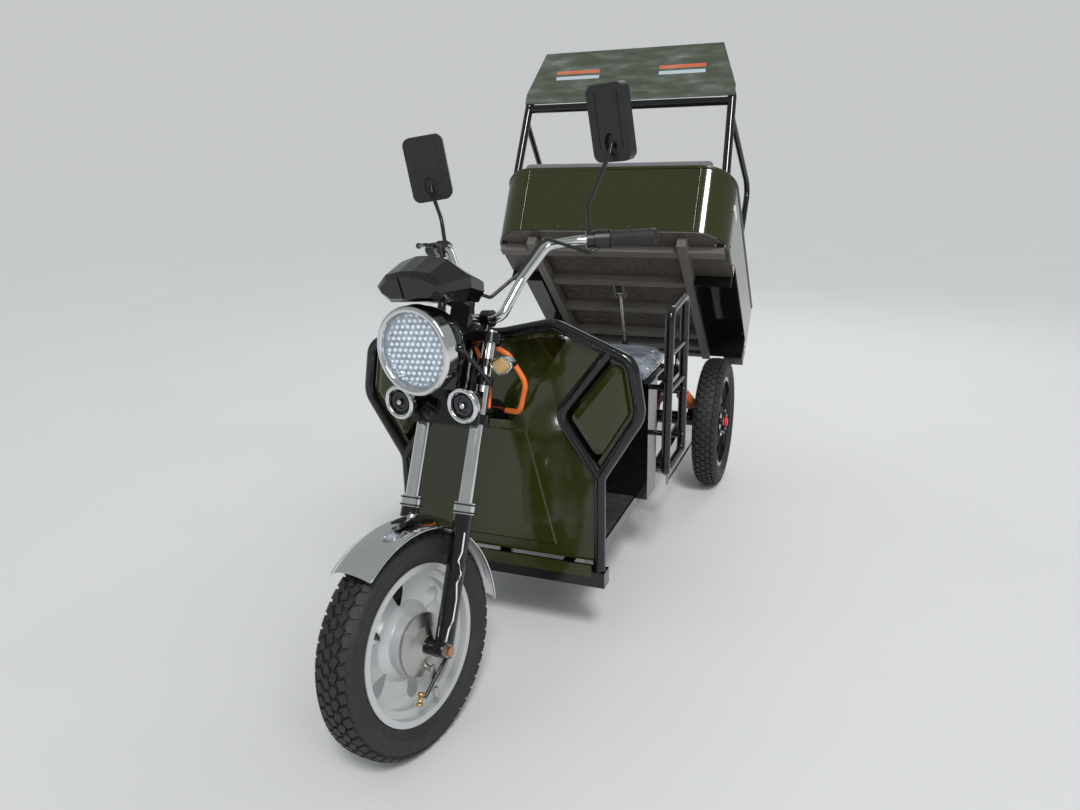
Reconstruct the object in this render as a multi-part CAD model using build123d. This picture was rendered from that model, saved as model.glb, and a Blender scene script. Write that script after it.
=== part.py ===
# Electric cargo tricycle with a tipping load box, in millimetres.
# The front faces -Y, +X is the vehicle's left side and +Z is up.
# The origin is on the ground, on the centre plane, midway along the overall length.
# Steering and load box stand as they are left in use: the bar turned a little, the box tipped up.
import math
import os

from build123d import *

# Layout of the whole vehicle
FRONT_AXLE_Y = -925.0
WHEELBASE = 1685.0
REAR_TRACK = 656.0
RAKE = 26.0
STEER_REST = 11.0
TIP_REST = 42.0
SEAT_GAP = 0.3
RUNNING_GAP = 0.05
HINGE_SIDE_GAP = 5.0

# Tyres and pressed steel rims, the same size on all three wheels
TYRE_RADIUS = 235.0
TYRE_HALF_WIDTH = 44.0
TYRE_SHOULDER = 14.0
TYRE_WALL = 9.0
BEAD_RADIUS = 156.0
FLANGE_RADIUS = 166.5
RIM_HALF_WIDTH = 31.0
RIM_WALL = 3.0
RIM_WELL_RADIUS = 140.0
RIM_WELL_HALF_WIDTH = 11.0
DISC_HOLES = 6
AXLE_RADIUS = 7.0

# Fork, measured in its own frame: x sideways, y square to the steering axis, u up along it
LEG_SPACING = 144.0
LEG_FORWARD = 35.0
AXLE_FORWARD = 58.0
LEG_TUBE_RADIUS = 15.0
SLIDER_RADIUS = 20.0
SLIDER_BOTTOM_U = -18.0
SLIDER_TOP_U = 273.0
SLIDER_BORE_DEPTH = 60.0
COLLAR_HEIGHT = 24.0
LOWER_YOKE_U = 462.0
UPPER_YOKE_U = 640.0
YOKE_THICKNESS = 22.0
YOKE_EYE_RADIUS = 25.0
STEM_RADIUS = 13.0
HEAD_TUBE_RADIUS = 24.0
FENDER_CLEARANCE = 6.0
FENDER_CROWN = 22.0
FENDER_SHEET = 2.5
FENDER_FRONT_ANGLE = 33.0
FENDER_REAR_ANGLE = 93.0

# Handlebar, mirrors and controls
BAR_RADIUS = 11.0
BAR_U = 708.0
BAR_Y = 4.0
RISER_X = 30.0
RISER_WIDTH = 24.0
GRIP_RADIUS = 17.0
GRIP_LENGTH = 110.0
SWITCH_LENGTH = 34.0
SWITCH_RADIUS = 21.0
LEVER_RADIUS = 5.0
MIRROR_CLAMP = 16.0
MIRROR_WIDTH = 104.0
MIRROR_HEIGHT = 165.0
MIRROR_DEPTH = 22.0
MIRROR_STEM_RADIUS = 5.0

# Lamps
HEADLIGHT_RADIUS = 88.0
HEADLIGHT_Y = -193.0
HEADLIGHT_U = 583.0
HEADLIGHT_DEPTH = 118.0
LENS_RADIUS = 80.0
BEZEL_RADIUS = 93.0
BEZEL_DEPTH = 26.0
LENS_FOOT = -4.0
LENS_EDGE_HEIGHT = 7.0
LENS_CROWN = 12.0
BAR_CABLE_RADIUS = 4.0
BOWL_MOUTH = -6.0
ROUND_LAMP_RADIUS = 38.0
ROUND_LAMP_X = 84.0
ROUND_LAMP_Y = -112.0
ROUND_LAMP_U = 490.0
ROUND_LAMP_DEPTH = 34.0
BRAKE_ARM_THICKNESS = 4.0
BRAKE_ARM_REACH = 108.0
CABLE_RADIUS = 4.0
LEAD_RADIUS = 6.5
SIGNAL_U = 596.0
SIGNAL_X = 124.0

# Leg shield
SHIELD_Y = FRONT_AXLE_Y + 458.0
HOOP_RADIUS = 14.0
LEG_X = 260.0
PANEL_THICKNESS = 3.0
APRON_BOTTOM_Z = 238.0
LOBE_INSET = 22.0
LOBE_EDGE = 12.0
LOBE_CROWN = 9.0
FIELD_RAISE = 4.0
COVER_DEPTH = 50.0
COVER_FLANGE = LOBE_INSET - HOOP_RADIUS + 2.0

# Chassis
RAIL_X = 170.0
RAIL_WIDTH = 30.0
RAIL_HEIGHT = 40.0
RAIL_Z = 195.0
REAR_RAIL_Z = 385.0
KICK_START_Y = FRONT_AXLE_Y + 1290.0
KICK_END_Y = FRONT_AXLE_Y + 1400.0
FOOTBOARD_HALF_WIDTH = 230.0
FOOTBOARD_END_Y = FRONT_AXLE_Y + 922.0
FOOTBOARD_THICKNESS = 4.0
MAT_THICKNESS = 5.0
DOWN_TUBE_RADIUS = 17.0

# Seat, its battery box and the side guards
SEAT_FRONT_Y = FRONT_AXLE_Y + 792.0
SEAT_BACK_Y = FRONT_AXLE_Y + 1030.0
SEAT_HALF_WIDTH = 300.0
SEAT_TOP_Z = 662.0
CUSHION_THICKNESS = 58.0
PAN_THICKNESS = 6.0
BATTERY_BOX_HALF_WIDTH = 262.0
SEAT_HINGE_X = 180.0
SEAT_PIN_RADIUS = 4.0
SEAT_PIN_DROP = 15.0
GUARD_X = 338.0
GUARD_RADIUS = 12.5
GUARD_FRONT_Y = FRONT_AXLE_Y + 815.0
GUARD_REAR_Y = FRONT_AXLE_Y + 1028.0
GUARD_BOTTOM_Z = 345.0
GUARD_TOP_Z = 810.0
GUARD_BAR_RADIUS = 8.0

# Rear axle
AXLE_TUBE_RADIUS = 25.0
DRUM_RADIUS = 78.0
ARM_X = 212.0
SHOCK_X = 242.0
BRAKE_ROD_X = 258.0
BRAKE_ROD_RADIUS = 3.5

# Load box, measured level from its hinge: e1 forward along the floor, e2 up from it
HINGE_Y = FRONT_AXLE_Y + 1815.0
HINGE_Z = 440.0
HINGE_PIN_RADIUS = 8.0
BOX_HALF_WIDTH = 399.0
BOX_REAR = -75.0
BOX_FRONT_BOTTOM = 696.0
BOX_FRONT_TOP = 748.0
BOX_CORNER_RADIUS = 110.0
BOX_WALL = 3.0
FLOOR_UNDER = 66.0
FLOOR_THICKNESS = 3.0
WALL_TOP = 287.0
RIM_LIP = 18.0
BEAD_INSET = 3.0
BEAD_TUBE_RADIUS = 7.0
SEAM_X = 293.0
SEAM_RADIUS = 2.5
HOUSING_WIDTH = 124.0
HOUSING_FRONT = 457.0
HOUSING_REAR = -25.0
HOUSING_TOP = 110.0
HOUSING_BOTTOM = 26.0
FOOT_HOLE_GAP = 2.0
PIP_COLUMNS = 8
PIP_PITCH = 56.0
PIP_LENGTH = 34.0
PIP_WIDTH = 16.0
PIP_HEIGHT = 3.0
RIB_DEPTH = 25.0
RIB_WIDTH = 30.0
POST_RADIUS = 14.0
POST_INSET = 27.0
POST_TOP_INSET = 43.0
POST_FOOT_E1 = 625.0
POST_SLOPE = 0.29
HEADBOARD_LOW = 560.0
HEADBOARD_HIGH = 725.0
HEADBOARD_TOP_INSET = 97.0
HEADBOARD_LEAN = 47.0
SIDE_RAIL_E2 = 500.0
SIDE_RAIL_END_E1 = 385.0
SIDE_RAIL_RADIUS = 10.0
TAILGATE_THICKNESS = 12.0
TAIL_LAMP_LOW = 20.0
TAIL_LAMP_WIDTH = 69.0
TAIL_LENS_THICKNESS = 6.0
GATE_PIN_RADIUS = 5.0

# Gas strut under the load box
STRUT_PIN_RADIUS = 5.0
STRUT_UPPER_E1 = 377.0
STRUT_UPPER_E2 = 35.0
STRUT_LOWER_Y = FRONT_AXLE_Y + 1690.0
STRUT_LOWER_Z = 330.0
BARREL_RADIUS = 11.0
BARREL_LENGTH = 215.0
ROD_RADIUS = 5.0
STRUT_EYE_HALF_WIDTH = 8.0
CLEVIS_PLATE = 5.0

# Worked out from the sizes above
REAR_AXLE_Y = FRONT_AXLE_Y + WHEELBASE
LEG_OFFSET = LEG_SPACING / 2
WHEEL_X = REAR_TRACK / 2
DECK_Z = RAIL_Z + RAIL_HEIGHT / 2
WALL_BOTTOM = FLOOR_UNDER + FLOOR_THICKNESS + SEAT_GAP
CLEVIS_INNER = STRUT_EYE_HALF_WIDTH + HINGE_SIDE_GAP
HOUSING_X = BOX_HALF_WIDTH - HOUSING_WIDTH
POST_HALF_WIDTH = BOX_HALF_WIDTH - POST_INSET
POST_TOP_HALF_WIDTH = BOX_HALF_WIDTH - POST_TOP_INSET
HEADBOARD_TOP_HALF_WIDTH = BOX_HALF_WIDTH - HEADBOARD_TOP_INSET
HEADBOARD_TOP_E1 = POST_FOOT_E1 + (HEADBOARD_LOW - FLOOR_UNDER) * POST_SLOPE + HEADBOARD_LEAN

os.makedirs("parts", exist_ok=True)


def keep(name, *shapes):
    """Write one node's solids to its own file."""
    solids = [solid for shape in shapes for solid in shape.solids()]
    export_step(solids[0] if len(solids) == 1 else Compound(solids), f"parts/{name}.step")


def both(shape):
    """A piece and its mirror image on the other side of the centre plane."""
    return Compound([*shape.solids(), *mirror(shape, about=Plane.YZ).solids()])


def tube(points, radius, bends=None):
    """A round bar along straight runs with rounded corners."""
    points = [Vector(*p) for p in points]
    if len(points) == 2:
        path = Line(*points)
    else:
        path = FilletPolyline(*points, radius=bends or 3 * radius)
    start = Plane(origin=points[0], z_dir=points[1] - points[0])
    return sweep(start * Circle(radius), path=path)


def closed_tube(points, radius, bends):
    """A round bar bent into a ring that closes on itself."""
    path = FilletPolyline(*points, radius=bends, close=True)
    start = path @ 0
    return sweep(Plane(origin=start, z_dir=path % 0) * Circle(radius), path=path)


def rod_x(radius, x0, x1, y, z):
    """A round bar along X."""
    return Pos((x0 + x1) / 2, y, z) * Rot(0, 90, 0) * Cylinder(radius, abs(x1 - x0))


def block(x0, x1, y0, y1, z0, z1):
    """A box between two corners."""
    return Pos((x0 + x1) / 2, (y0 + y1) / 2, (z0 + z1) / 2) * Box(abs(x1 - x0), abs(y1 - y0), abs(z1 - z0))


def turned_profile(points, axis):
    """Turn a closed profile about an axis: (along, radius) pairs for X, (radius, along) pairs for Z."""
    face = make_face(Polyline(*[(a, 0, b) for a, b in points], close=True))
    return revolve(face, axis=axis)


# Fork frame

rake = math.radians(RAKE)
steer_up = Vector(0, math.sin(rake), math.cos(rake))
steer_back = Vector(0, math.cos(rake), -math.sin(rake))
steer_base = Vector(0, FRONT_AXLE_Y, TYRE_RADIUS) + steer_back * AXLE_FORWARD
fork = Plane(origin=steer_base, x_dir=(1, 0, 0), z_dir=steer_up).location
steer_axis = Axis(steer_base, steer_up)


def fork_point(x, y, u):
    """A point of the fork frame in the vehicle's frame, with the wheel straight ahead."""
    return steer_base + Vector(x, 0, 0) + steer_back * y + steer_up * u


def turned(shape):
    """Turn a piece of the steering to where the bar is left."""
    return shape.rotate(steer_axis, -STEER_REST)


# Wheels

bead_face = RIM_HALF_WIDTH - SEAT_GAP
flange_top = FLANGE_RADIUS + 1.5


def tyre():
    """A bias-ply tyre, hollow, about the X axis."""
    shoulder = (TYRE_HALF_WIDTH - 6, TYRE_RADIUS - TYRE_SHOULDER)
    side = (TYRE_HALF_WIDTH, FLANGE_RADIUS + 32)
    inner_shoulder = (shoulder[0] - TYRE_WALL + 1, shoulder[1] - TYRE_WALL)
    inner_side = (side[0] - TYRE_WALL, side[1])
    bead_inside = bead_face - TYRE_WALL

    def point(pair, sign=1):
        return (sign * pair[0], 0, pair[1])

    outline = [
        Line(point((bead_face, BEAD_RADIUS)), point((bead_face, flange_top))),
        ThreePointArc(point((bead_face, flange_top)), point(side), point(shoulder)),
        ThreePointArc(point(shoulder), (0, 0, TYRE_RADIUS), point(shoulder, -1)),
        ThreePointArc(point(shoulder, -1), point(side, -1), point((bead_face, flange_top), -1)),
        Line(point((bead_face, flange_top), -1), point((bead_face, BEAD_RADIUS), -1)),
        Line(point((bead_face, BEAD_RADIUS), -1), point((bead_inside, BEAD_RADIUS), -1)),
        ThreePointArc(point((bead_inside, BEAD_RADIUS), -1), point(inner_side, -1), point(inner_shoulder, -1)),
        ThreePointArc(point(inner_shoulder, -1), (0, 0, TYRE_RADIUS - TYRE_WALL - 2), point(inner_shoulder)),
        ThreePointArc(point(inner_shoulder), point(inner_side), point((bead_inside, BEAD_RADIUS))),
        Line(point((bead_inside, BEAD_RADIUS)), point((bead_face, BEAD_RADIUS))),
    ]
    return revolve(make_face(outline), axis=Axis.X)


def rim_barrel():
    """The rolled steel channel that the tyre sits in."""
    seat = BEAD_RADIUS - SEAT_GAP
    well = RIM_WELL_HALF_WIDTH
    outside = [(RIM_HALF_WIDTH, FLANGE_RADIUS), (RIM_HALF_WIDTH, seat), (well + 5, seat - 2), (well, RIM_WELL_RADIUS)]
    inside = [
        (well + RIM_WALL, RIM_WELL_RADIUS - RIM_WALL),
        (well + 5 + RIM_WALL, seat - 2 - RIM_WALL),
        (RIM_HALF_WIDTH + RIM_WALL, seat - RIM_WALL),
        (RIM_HALF_WIDTH + RIM_WALL, FLANGE_RADIUS),
    ]
    outside_mirrored = [(-x, r) for x, r in reversed(outside)]
    inside_mirrored = [(-x, r) for x, r in reversed(inside)]
    return turned_profile(outside + outside_mirrored + inside_mirrored + inside, Axis.X)


def disc_hole():
    """One drop-shaped hole through the wheel disc, cut along X."""
    outline = make_hull((Pos(0, 112) * Circle(19)).edges() + (Pos(0, 88) * Circle(9)).edges())
    return Pos(-40, 0, 0) * extrude(Plane.YZ * outline, 80)


disc_edge = RIM_WELL_RADIUS - RIM_WALL + 1


def front_rim():
    """Front rim with its pressed disc and the hub that holds the brake drum."""
    disc = turned_profile(
        [(-4, disc_edge), (-10, 120), (-10, 84), (2, 66), (2, 60), (-3, 60), (-3, 64), (-14, 82), (-14, 122),
         (-8, disc_edge)],
        Axis.X,
    )
    bore = AXLE_RADIUS + RUNNING_GAP
    hub = turned_profile([(-40, bore), (-40, 22), (-22, 24), (-12, 62), (28, 66), (28, 58), (-6, 54), (-6, bore)], Axis.X)
    for index in range(DISC_HOLES):
        disc -= Rot(360 / DISC_HOLES * index, 0, 0) * disc_hole()
    return rim_barrel() + disc + hub


def rear_rim():
    """Rear rim, dished outwards, with its brake drum inside. +X is the outside."""
    disc = turned_profile(
        [(12, disc_edge), (18, 122), (18, 86), (4, 70), (4, 20), (0, 20), (0, 72), (14, 88), (14, 120), (8, disc_edge)],
        Axis.X,
    )
    drum = turned_profile(
        [(0, 20), (0, DRUM_RADIUS - 14), (-6, DRUM_RADIUS), (-44, DRUM_RADIUS), (-44, DRUM_RADIUS - 6),
         (-12, DRUM_RADIUS - 6), (-12, 20)],
        Axis.X,
    )
    bore = AXLE_RADIUS + RUNNING_GAP
    hub = turned_profile([(-12, bore), (-12, 34), (24, 30), (24, bore)], Axis.X)
    for index in range(DISC_HOLES):
        disc -= Rot(360 / DISC_HOLES * index, 0, 0) * disc_hole()
    return rim_barrel() + disc + drum + hub


front_place = Pos(0, FRONT_AXLE_Y, TYRE_RADIUS)
rear_place = Pos(WHEEL_X, REAR_AXLE_Y, TYRE_RADIUS)
keep("front_tyre", turned(front_place * tyre()))
keep("front_rim", turned(front_place * front_rim()))
keep("rear_tyre_left", rear_place * tyre())
keep("rear_tyre_right", mirror(rear_place * tyre(), about=Plane.YZ))
keep("rear_rim_left", rear_place * rear_rim())
keep("rear_rim_right", mirror(rear_place * rear_rim(), about=Plane.YZ))

# Fork

lug_half_width = SLIDER_RADIUS + 1


def slider():
    """One lower fork leg with the lug that holds the axle."""
    length = SLIDER_TOP_U - SLIDER_BOTTOM_U
    leg = Pos(0, -LEG_FORWARD, SLIDER_BOTTOM_U + length / 2) * Cylinder(SLIDER_RADIUS, length)
    lug = Pos(0, -AXLE_FORWARD, 0) * Rot(0, 90, 0) * Cylinder(16, 2 * lug_half_width)
    web = Pos(0, -(AXLE_FORWARD + LEG_FORWARD) / 2, 0) * Box(20, AXLE_FORWARD - LEG_FORWARD, 30)
    bore = Pos(0, -LEG_FORWARD, SLIDER_TOP_U) * Cylinder(LEG_TUBE_RADIUS + SEAT_GAP, 2 * SLIDER_BORE_DEPTH)
    axle_hole = Pos(0, -AXLE_FORWARD, 0) * Rot(0, 90, 0) * Cylinder(AXLE_RADIUS + RUNNING_GAP, 60)
    return leg + lug + web - bore - axle_hole


def stanchion():
    """One upper fork tube with the dust collar that closes the slider's mouth."""
    bottom = SLIDER_TOP_U - SLIDER_BORE_DEPTH + SEAT_GAP
    top = UPPER_YOKE_U + YOKE_THICKNESS + 6
    leg = Pos(0, -LEG_FORWARD, (bottom + top) / 2) * Cylinder(LEG_TUBE_RADIUS, top - bottom)
    collar_centre = SLIDER_TOP_U + SEAT_GAP + COLLAR_HEIGHT / 2
    return leg + Pos(0, -LEG_FORWARD, collar_centre) * Cylinder(SLIDER_RADIUS + 3, COLLAR_HEIGHT)


def on_both_legs(shape):
    """A fork piece on each leg, turned with the steering."""
    legs = [fork * Pos(side * LEG_OFFSET, 0, 0) * shape for side in (1, -1)]
    return turned(Compound([solid for leg in legs for solid in leg.solids()]))


keep("fork_sliders", on_both_legs(slider()))
keep("fork_tubes", on_both_legs(stanchion()))


def yoke(u):
    """A triple clamp around both legs and the steering stem."""
    plate = Pos(0, 0, u) * extrude(
        make_hull(
            (Pos(LEG_OFFSET, -LEG_FORWARD) * Circle(YOKE_EYE_RADIUS)).edges()
            + (Pos(-LEG_OFFSET, -LEG_FORWARD) * Circle(YOKE_EYE_RADIUS)).edges()
            + Circle(27).edges()
        ),
        YOKE_THICKNESS,
    )
    for side in (1, -1):
        plate -= Pos(side * LEG_OFFSET, -LEG_FORWARD, u) * Cylinder(LEG_TUBE_RADIUS + SEAT_GAP, 100)
    return plate


stem_length = UPPER_YOKE_U - LOWER_YOKE_U - YOKE_THICKNESS
stem = Pos(0, 0, LOWER_YOKE_U + YOKE_THICKNESS + stem_length / 2) * Cylinder(STEM_RADIUS, stem_length)
riser_foot = UPPER_YOKE_U + YOKE_THICKNESS
risers = Part()
for side in (1, -1):
    risers += Pos(side * RISER_X, BAR_Y, (riser_foot + BAR_U) / 2) * Cylinder(11, BAR_U - riser_foot)
    risers += Pos(side * RISER_X, BAR_Y, BAR_U) * Rot(0, 90, 0) * Cylinder(19, RISER_WIDTH)
risers -= Pos(0, BAR_Y, BAR_U) * Rot(0, 90, 0) * Cylinder(BAR_RADIUS + SEAT_GAP, 200)
keep("fork_yokes", turned(fork * (yoke(LOWER_YOKE_U) + yoke(UPPER_YOKE_U) + stem + risers)))

nut_face = LEG_OFFSET + lug_half_width + SEAT_GAP
axle = rod_x(AXLE_RADIUS, -nut_face - 14, nut_face + 14, 0, 0)
for side in (1, -1):
    axle += rod_x(13, side * nut_face, side * (nut_face + 9), 0, 0)
plate_face = LEG_OFFSET - lug_half_width - SEAT_GAP
brake_plate = turned_profile(
    [(31, 5), (31, 64), (36, 66), (42, 40), (plate_face, 20), (plate_face, 5)], Axis.X
)
arm_inner = LEG_OFFSET - lug_half_width - 1
cam_pin = rod_x(6, plate_face - 12, arm_inner + BRAKE_ARM_THICKNESS, 0, -52)
brake_arm = block(arm_inner, arm_inner + BRAKE_ARM_THICKNESS, -7, 7, -BRAKE_ARM_REACH, -45) + (cam_pin - brake_plate)
adjuster = Pos(arm_inner + 2, 0, -BRAKE_ARM_REACH + 4) * Cylinder(6, 20)
keep("front_axle", turned(front_place * (axle + brake_plate + brake_arm + adjuster)))


def fender():
    """The arched front mudguard, a sheet about the axle that starts behind the wheel."""
    half = LEG_OFFSET - SLIDER_RADIUS - SEAT_GAP
    edge = TYRE_RADIUS + FENDER_CLEARANCE
    crown = edge + FENDER_CROWN
    outline = [
        ThreePointArc((half, 0, edge), (0, 0, crown), (-half, 0, edge)),
        Line((-half, 0, edge), (-half + FENDER_SHEET, 0, edge - 1)),
        ThreePointArc((-half + FENDER_SHEET, 0, edge - 1), (0, 0, crown - FENDER_SHEET),
                      (half - FENDER_SHEET, 0, edge - 1)),
        Line((half - FENDER_SHEET, 0, edge - 1), (half, 0, edge)),
    ]
    sweep_angle = FENDER_FRONT_ANGLE + FENDER_REAR_ANGLE
    sheet = revolve(make_face(outline), axis=Axis.X, revolution_arc=sweep_angle)
    return Rot(-FENDER_REAR_ANGLE, 0, 0) * sheet


keep("front_fender", turned(front_place * fender()))

# Handlebar and what it carries

BAR_POINTS = [  # x, y, u of the left half, from the clamp to the end of the grip
    (64, BAR_Y, BAR_U),
    (88, 29, 806),
    (136, 36, 884),
    (180, 85, 912),
    (322, 187, 953),
]
BAR_BENDS = [24, 40, 36, 40]
left_bar = [fork_point(*p) for p in BAR_POINTS]
right_bar = [fork_point(-x, y, u) for x, y, u in reversed(BAR_POINTS)]
bar_ends = list(reversed(BAR_BENDS))
keep("handlebar", turned(tube(right_bar + left_bar, BAR_RADIUS, bar_ends + BAR_BENDS)))

bar_end = fork_point(*BAR_POINTS[-1])
bar_inward = (fork_point(*BAR_POINTS[-2]) - bar_end).normalized()


def along_bar(start, length, radius):
    """A sleeve around the last straight run of the left bar end."""
    place = Plane(origin=bar_end + bar_inward * (start + length / 2), z_dir=bar_inward).location
    return place * (Cylinder(radius, length) - Cylinder(BAR_RADIUS + SEAT_GAP, length + 2))


grip_start = -4.0
switch_start = grip_start + GRIP_LENGTH + SEAT_GAP
clamp_start = switch_start + SWITCH_LENGTH + SEAT_GAP
keep("grips", turned(both(along_bar(grip_start, GRIP_LENGTH, GRIP_RADIUS))))
switch_room = along_bar(switch_start - 1, SWITCH_LENGTH + 2, SWITCH_RADIUS + SEAT_GAP)
LEVER_POINTS = [(231, 92, 922.7), (262.5, 90.2, 928), (331, 144.4, 948.9)]  # x, y, u on the left; used on the right
lever = tube([fork_point(*p) for p in LEVER_POINTS], LEVER_RADIUS, 12) - switch_room
lever += Pos(*fork_point(*LEVER_POINTS[-1])) * Sphere(LEVER_RADIUS + 3)
switches = both(along_bar(switch_start, SWITCH_LENGTH, SWITCH_RADIUS))
keep("switchgear", turned(switches), turned(mirror(lever, about=Plane.YZ)))

MIRRORS = [  # side, then the head's centre x, y, u in the fork frame and its swing about the upright
    (1, 258, 33, 1159, 12),
    (-1, 304, 100, 1142, 30),
]
clamp_centre = bar_end + bar_inward * (clamp_start + MIRROR_CLAMP / 2)
mirrors = []
mirror_glass = []
for side, x, y, u, swing in MIRRORS:
    clamp = along_bar(clamp_start, MIRROR_CLAMP, 18)
    if side < 0:
        clamp = mirror(clamp, about=Plane.YZ)
    foot = Vector(side * clamp_centre.X, clamp_centre.Y, clamp_centre.Z)
    head = Pos(*fork_point(side * x, y, u)) * Rot(8, 0, side * -swing)
    shell = fillet(Box(MIRROR_WIDTH, MIRROR_DEPTH, MIRROR_HEIGHT).edges().filter_by(Axis.Y), 20)
    shell -= Pos(0, MIRROR_DEPTH / 2, 0) * Box(MIRROR_WIDTH - 9, 6, MIRROR_HEIGHT - 9)
    pocket = Pos(0, -MIRROR_DEPTH / 2, -44) * Rot(90, 0, 0) * extrude(Ellipse(17, 24), 8, both=True)
    neck = (head * Pos(0, -MIRROR_DEPTH / 2 - 8, -62)).position
    ball = (head * Pos(0, -MIRROR_DEPTH / 2 + 4, -44)).position
    stem_path = [foot + Vector(0, 0, 14), foot + Vector(side * 2, 0, 74), neck]
    stem = tube([stem_path[0], stem_path[1], stem_path[2]], MIRROR_STEM_RADIUS, 30)
    arm = tube([neck, ball], MIRROR_STEM_RADIUS) + Pos(*neck) * Sphere(MIRROR_STEM_RADIUS)
    mirrors.append(clamp + stem + arm + head * (shell - pocket))
    glass = fillet(Box(MIRROR_WIDTH - 9.6, 2.4, MIRROR_HEIGHT - 9.6).edges().filter_by(Axis.Y), 6)
    mirror_glass.append(head * Pos(0, MIRROR_DEPTH / 2 - 3 + SEAT_GAP + 1.2, 0) * glass)
keep("mirrors", *[turned(piece) for piece in mirrors])
keep("mirror_glass", *[turned(piece) for piece in mirror_glass])

# Lamps and cowl

lamp_place = Pos(*fork_point(0, HEADLIGHT_Y, HEADLIGHT_U)) * Rot(90, 0, 0)
bowl_end = -HEADLIGHT_DEPTH


def bowl(radius, depth):
    """The rounded lamp bowl as a solid, from its mouth back to its flat end."""
    outline = [
        Line((0, 0, BOWL_MOUTH), (radius, 0, BOWL_MOUTH)),
        Line((radius, 0, BOWL_MOUTH), (radius, 0, -34)),
        ThreePointArc((radius, 0, -34), (0.8 * radius, 0, -34 + 0.62 * (depth + 34)), (0.36 * radius, 0, depth)),
        Line((0.36 * radius, 0, depth), (0, 0, depth)),
        Line((0, 0, depth), (0, 0, BOWL_MOUTH)),
    ]
    return revolve(make_face(outline), axis=Axis.Z)


keep("headlight_shell", turned(lamp_place * (bowl(HEADLIGHT_RADIUS, bowl_end) - bowl(LENS_RADIUS, bowl_end + 5))))
ring_inside = HEADLIGHT_RADIUS + SEAT_GAP
bezel_outline = [
    Line((LENS_RADIUS, 0, -5.7), (LENS_RADIUS, 0, 4)),
    ThreePointArc((LENS_RADIUS, 0, 4), (LENS_RADIUS + 7, 0, 7), (BEZEL_RADIUS, 0, 0)),
    Line((BEZEL_RADIUS, 0, 0), (BEZEL_RADIUS, 0, -BEZEL_DEPTH)),
    Line((BEZEL_RADIUS, 0, -BEZEL_DEPTH), (ring_inside, 0, -BEZEL_DEPTH)),
    Line((ring_inside, 0, -BEZEL_DEPTH), (ring_inside, 0, -5.7)),
    Line((ring_inside, 0, -5.7), (LENS_RADIUS, 0, -5.7)),
]
keep("headlight_bezel", turned(lamp_place * revolve(make_face(bezel_outline), axis=Axis.Z)))
lens_edge = LENS_RADIUS - SEAT_GAP
lens_height = LENS_EDGE_HEIGHT + LENS_CROWN
dome_radius = (lens_edge**2 + LENS_CROWN**2) / (2 * LENS_CROWN)
lens = Pos(0, 0, LENS_FOOT + lens_height / 2) * Cylinder(lens_edge, lens_height)
lens &= Pos(0, 0, LENS_FOOT + lens_height - dome_radius) * Sphere(dome_radius)
keep("headlight_lens", turned(lamp_place * lens))

COWL_SECTIONS = [  # y and u of the centre, then half width at the waist, at the crest, height above and below
    (-244, 700, 72, 46, 20, 22),
    (-232, 706, 88, 56, 34, 32),
    (-176, 738, 106, 60, 54, 46),
    (-118, 746, 96, 40, 54, 40),
    (-92, 744, 74, 26, 30, 30),
]
COWL_POCKET = (84, 34, 3)


def cowl_section(y, u, waist, crest, above, below):
    """One upright six-sided section of the instrument cowl."""
    plane = Plane(origin=fork_point(0, y, u), x_dir=(1, 0, 0), z_dir=(0, -1, -0.25))
    half = [(0.72 * waist, -below), (0.95 * waist, -0.4 * below), (waist, 0.1 * above), (crest, 0.82 * above),
            (0.3 * crest, above)]
    outline = half + [(-px, pz) for px, pz in reversed(half)]
    return plane * make_face(Polyline(*outline, close=True))


cowl = loft([cowl_section(*row) for row in COWL_SECTIONS], ruled=True)
pocket_place = cowl_section(*COWL_SECTIONS[0]).faces()[0].center_location
cowl -= pocket_place * Box(COWL_POCKET[0], COWL_POCKET[1], 2 * COWL_POCKET[2])
yoke_top = UPPER_YOKE_U + YOKE_THICKNESS
cowl_foot = block(-26, 26, -62, -46, yoke_top + SEAT_GAP, yoke_top + 66)
cowl_foot += block(-26, 26, -112, -46, yoke_top + 54, yoke_top + 66)
keep("instrument_cowl", turned(cowl + fork * cowl_foot))

BAR_CABLE = [  # x, y, u of the left cable, from the switches down behind the bar into the cowl
    (222.2, 115.4, 903.6),
    (207.5, 104.8, 889.1),
    (146, 4, 890),
    (98, -4, 806),
    (60, -40, 742),
    (46, -120, 738),
]
bar_cable = tube([fork_point(*p) for p in BAR_CABLE], BAR_CABLE_RADIUS, 12) - switch_room - cowl
BRAKE_CABLE = [  # x, y, u of the front brake's cable, from the yoke down behind the left leg to the brake arm
    (LEG_OFFSET - 8, -6, LOWER_YOKE_U - SEAT_GAP),
    (LEG_OFFSET - 8, -6, -20),
    (arm_inner + 2, -AXLE_FORWARD + 12, -BRAKE_ARM_REACH + 4),
]
brake_cable = tube([fork_point(*p) for p in BRAKE_CABLE], CABLE_RADIUS, 30)
brake_cable -= front_place * (brake_plate + brake_arm + adjuster)
keep("bar_cables", turned(both(bar_cable)), turned(brake_cable))

# Brackets between the fork and the lamps

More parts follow.
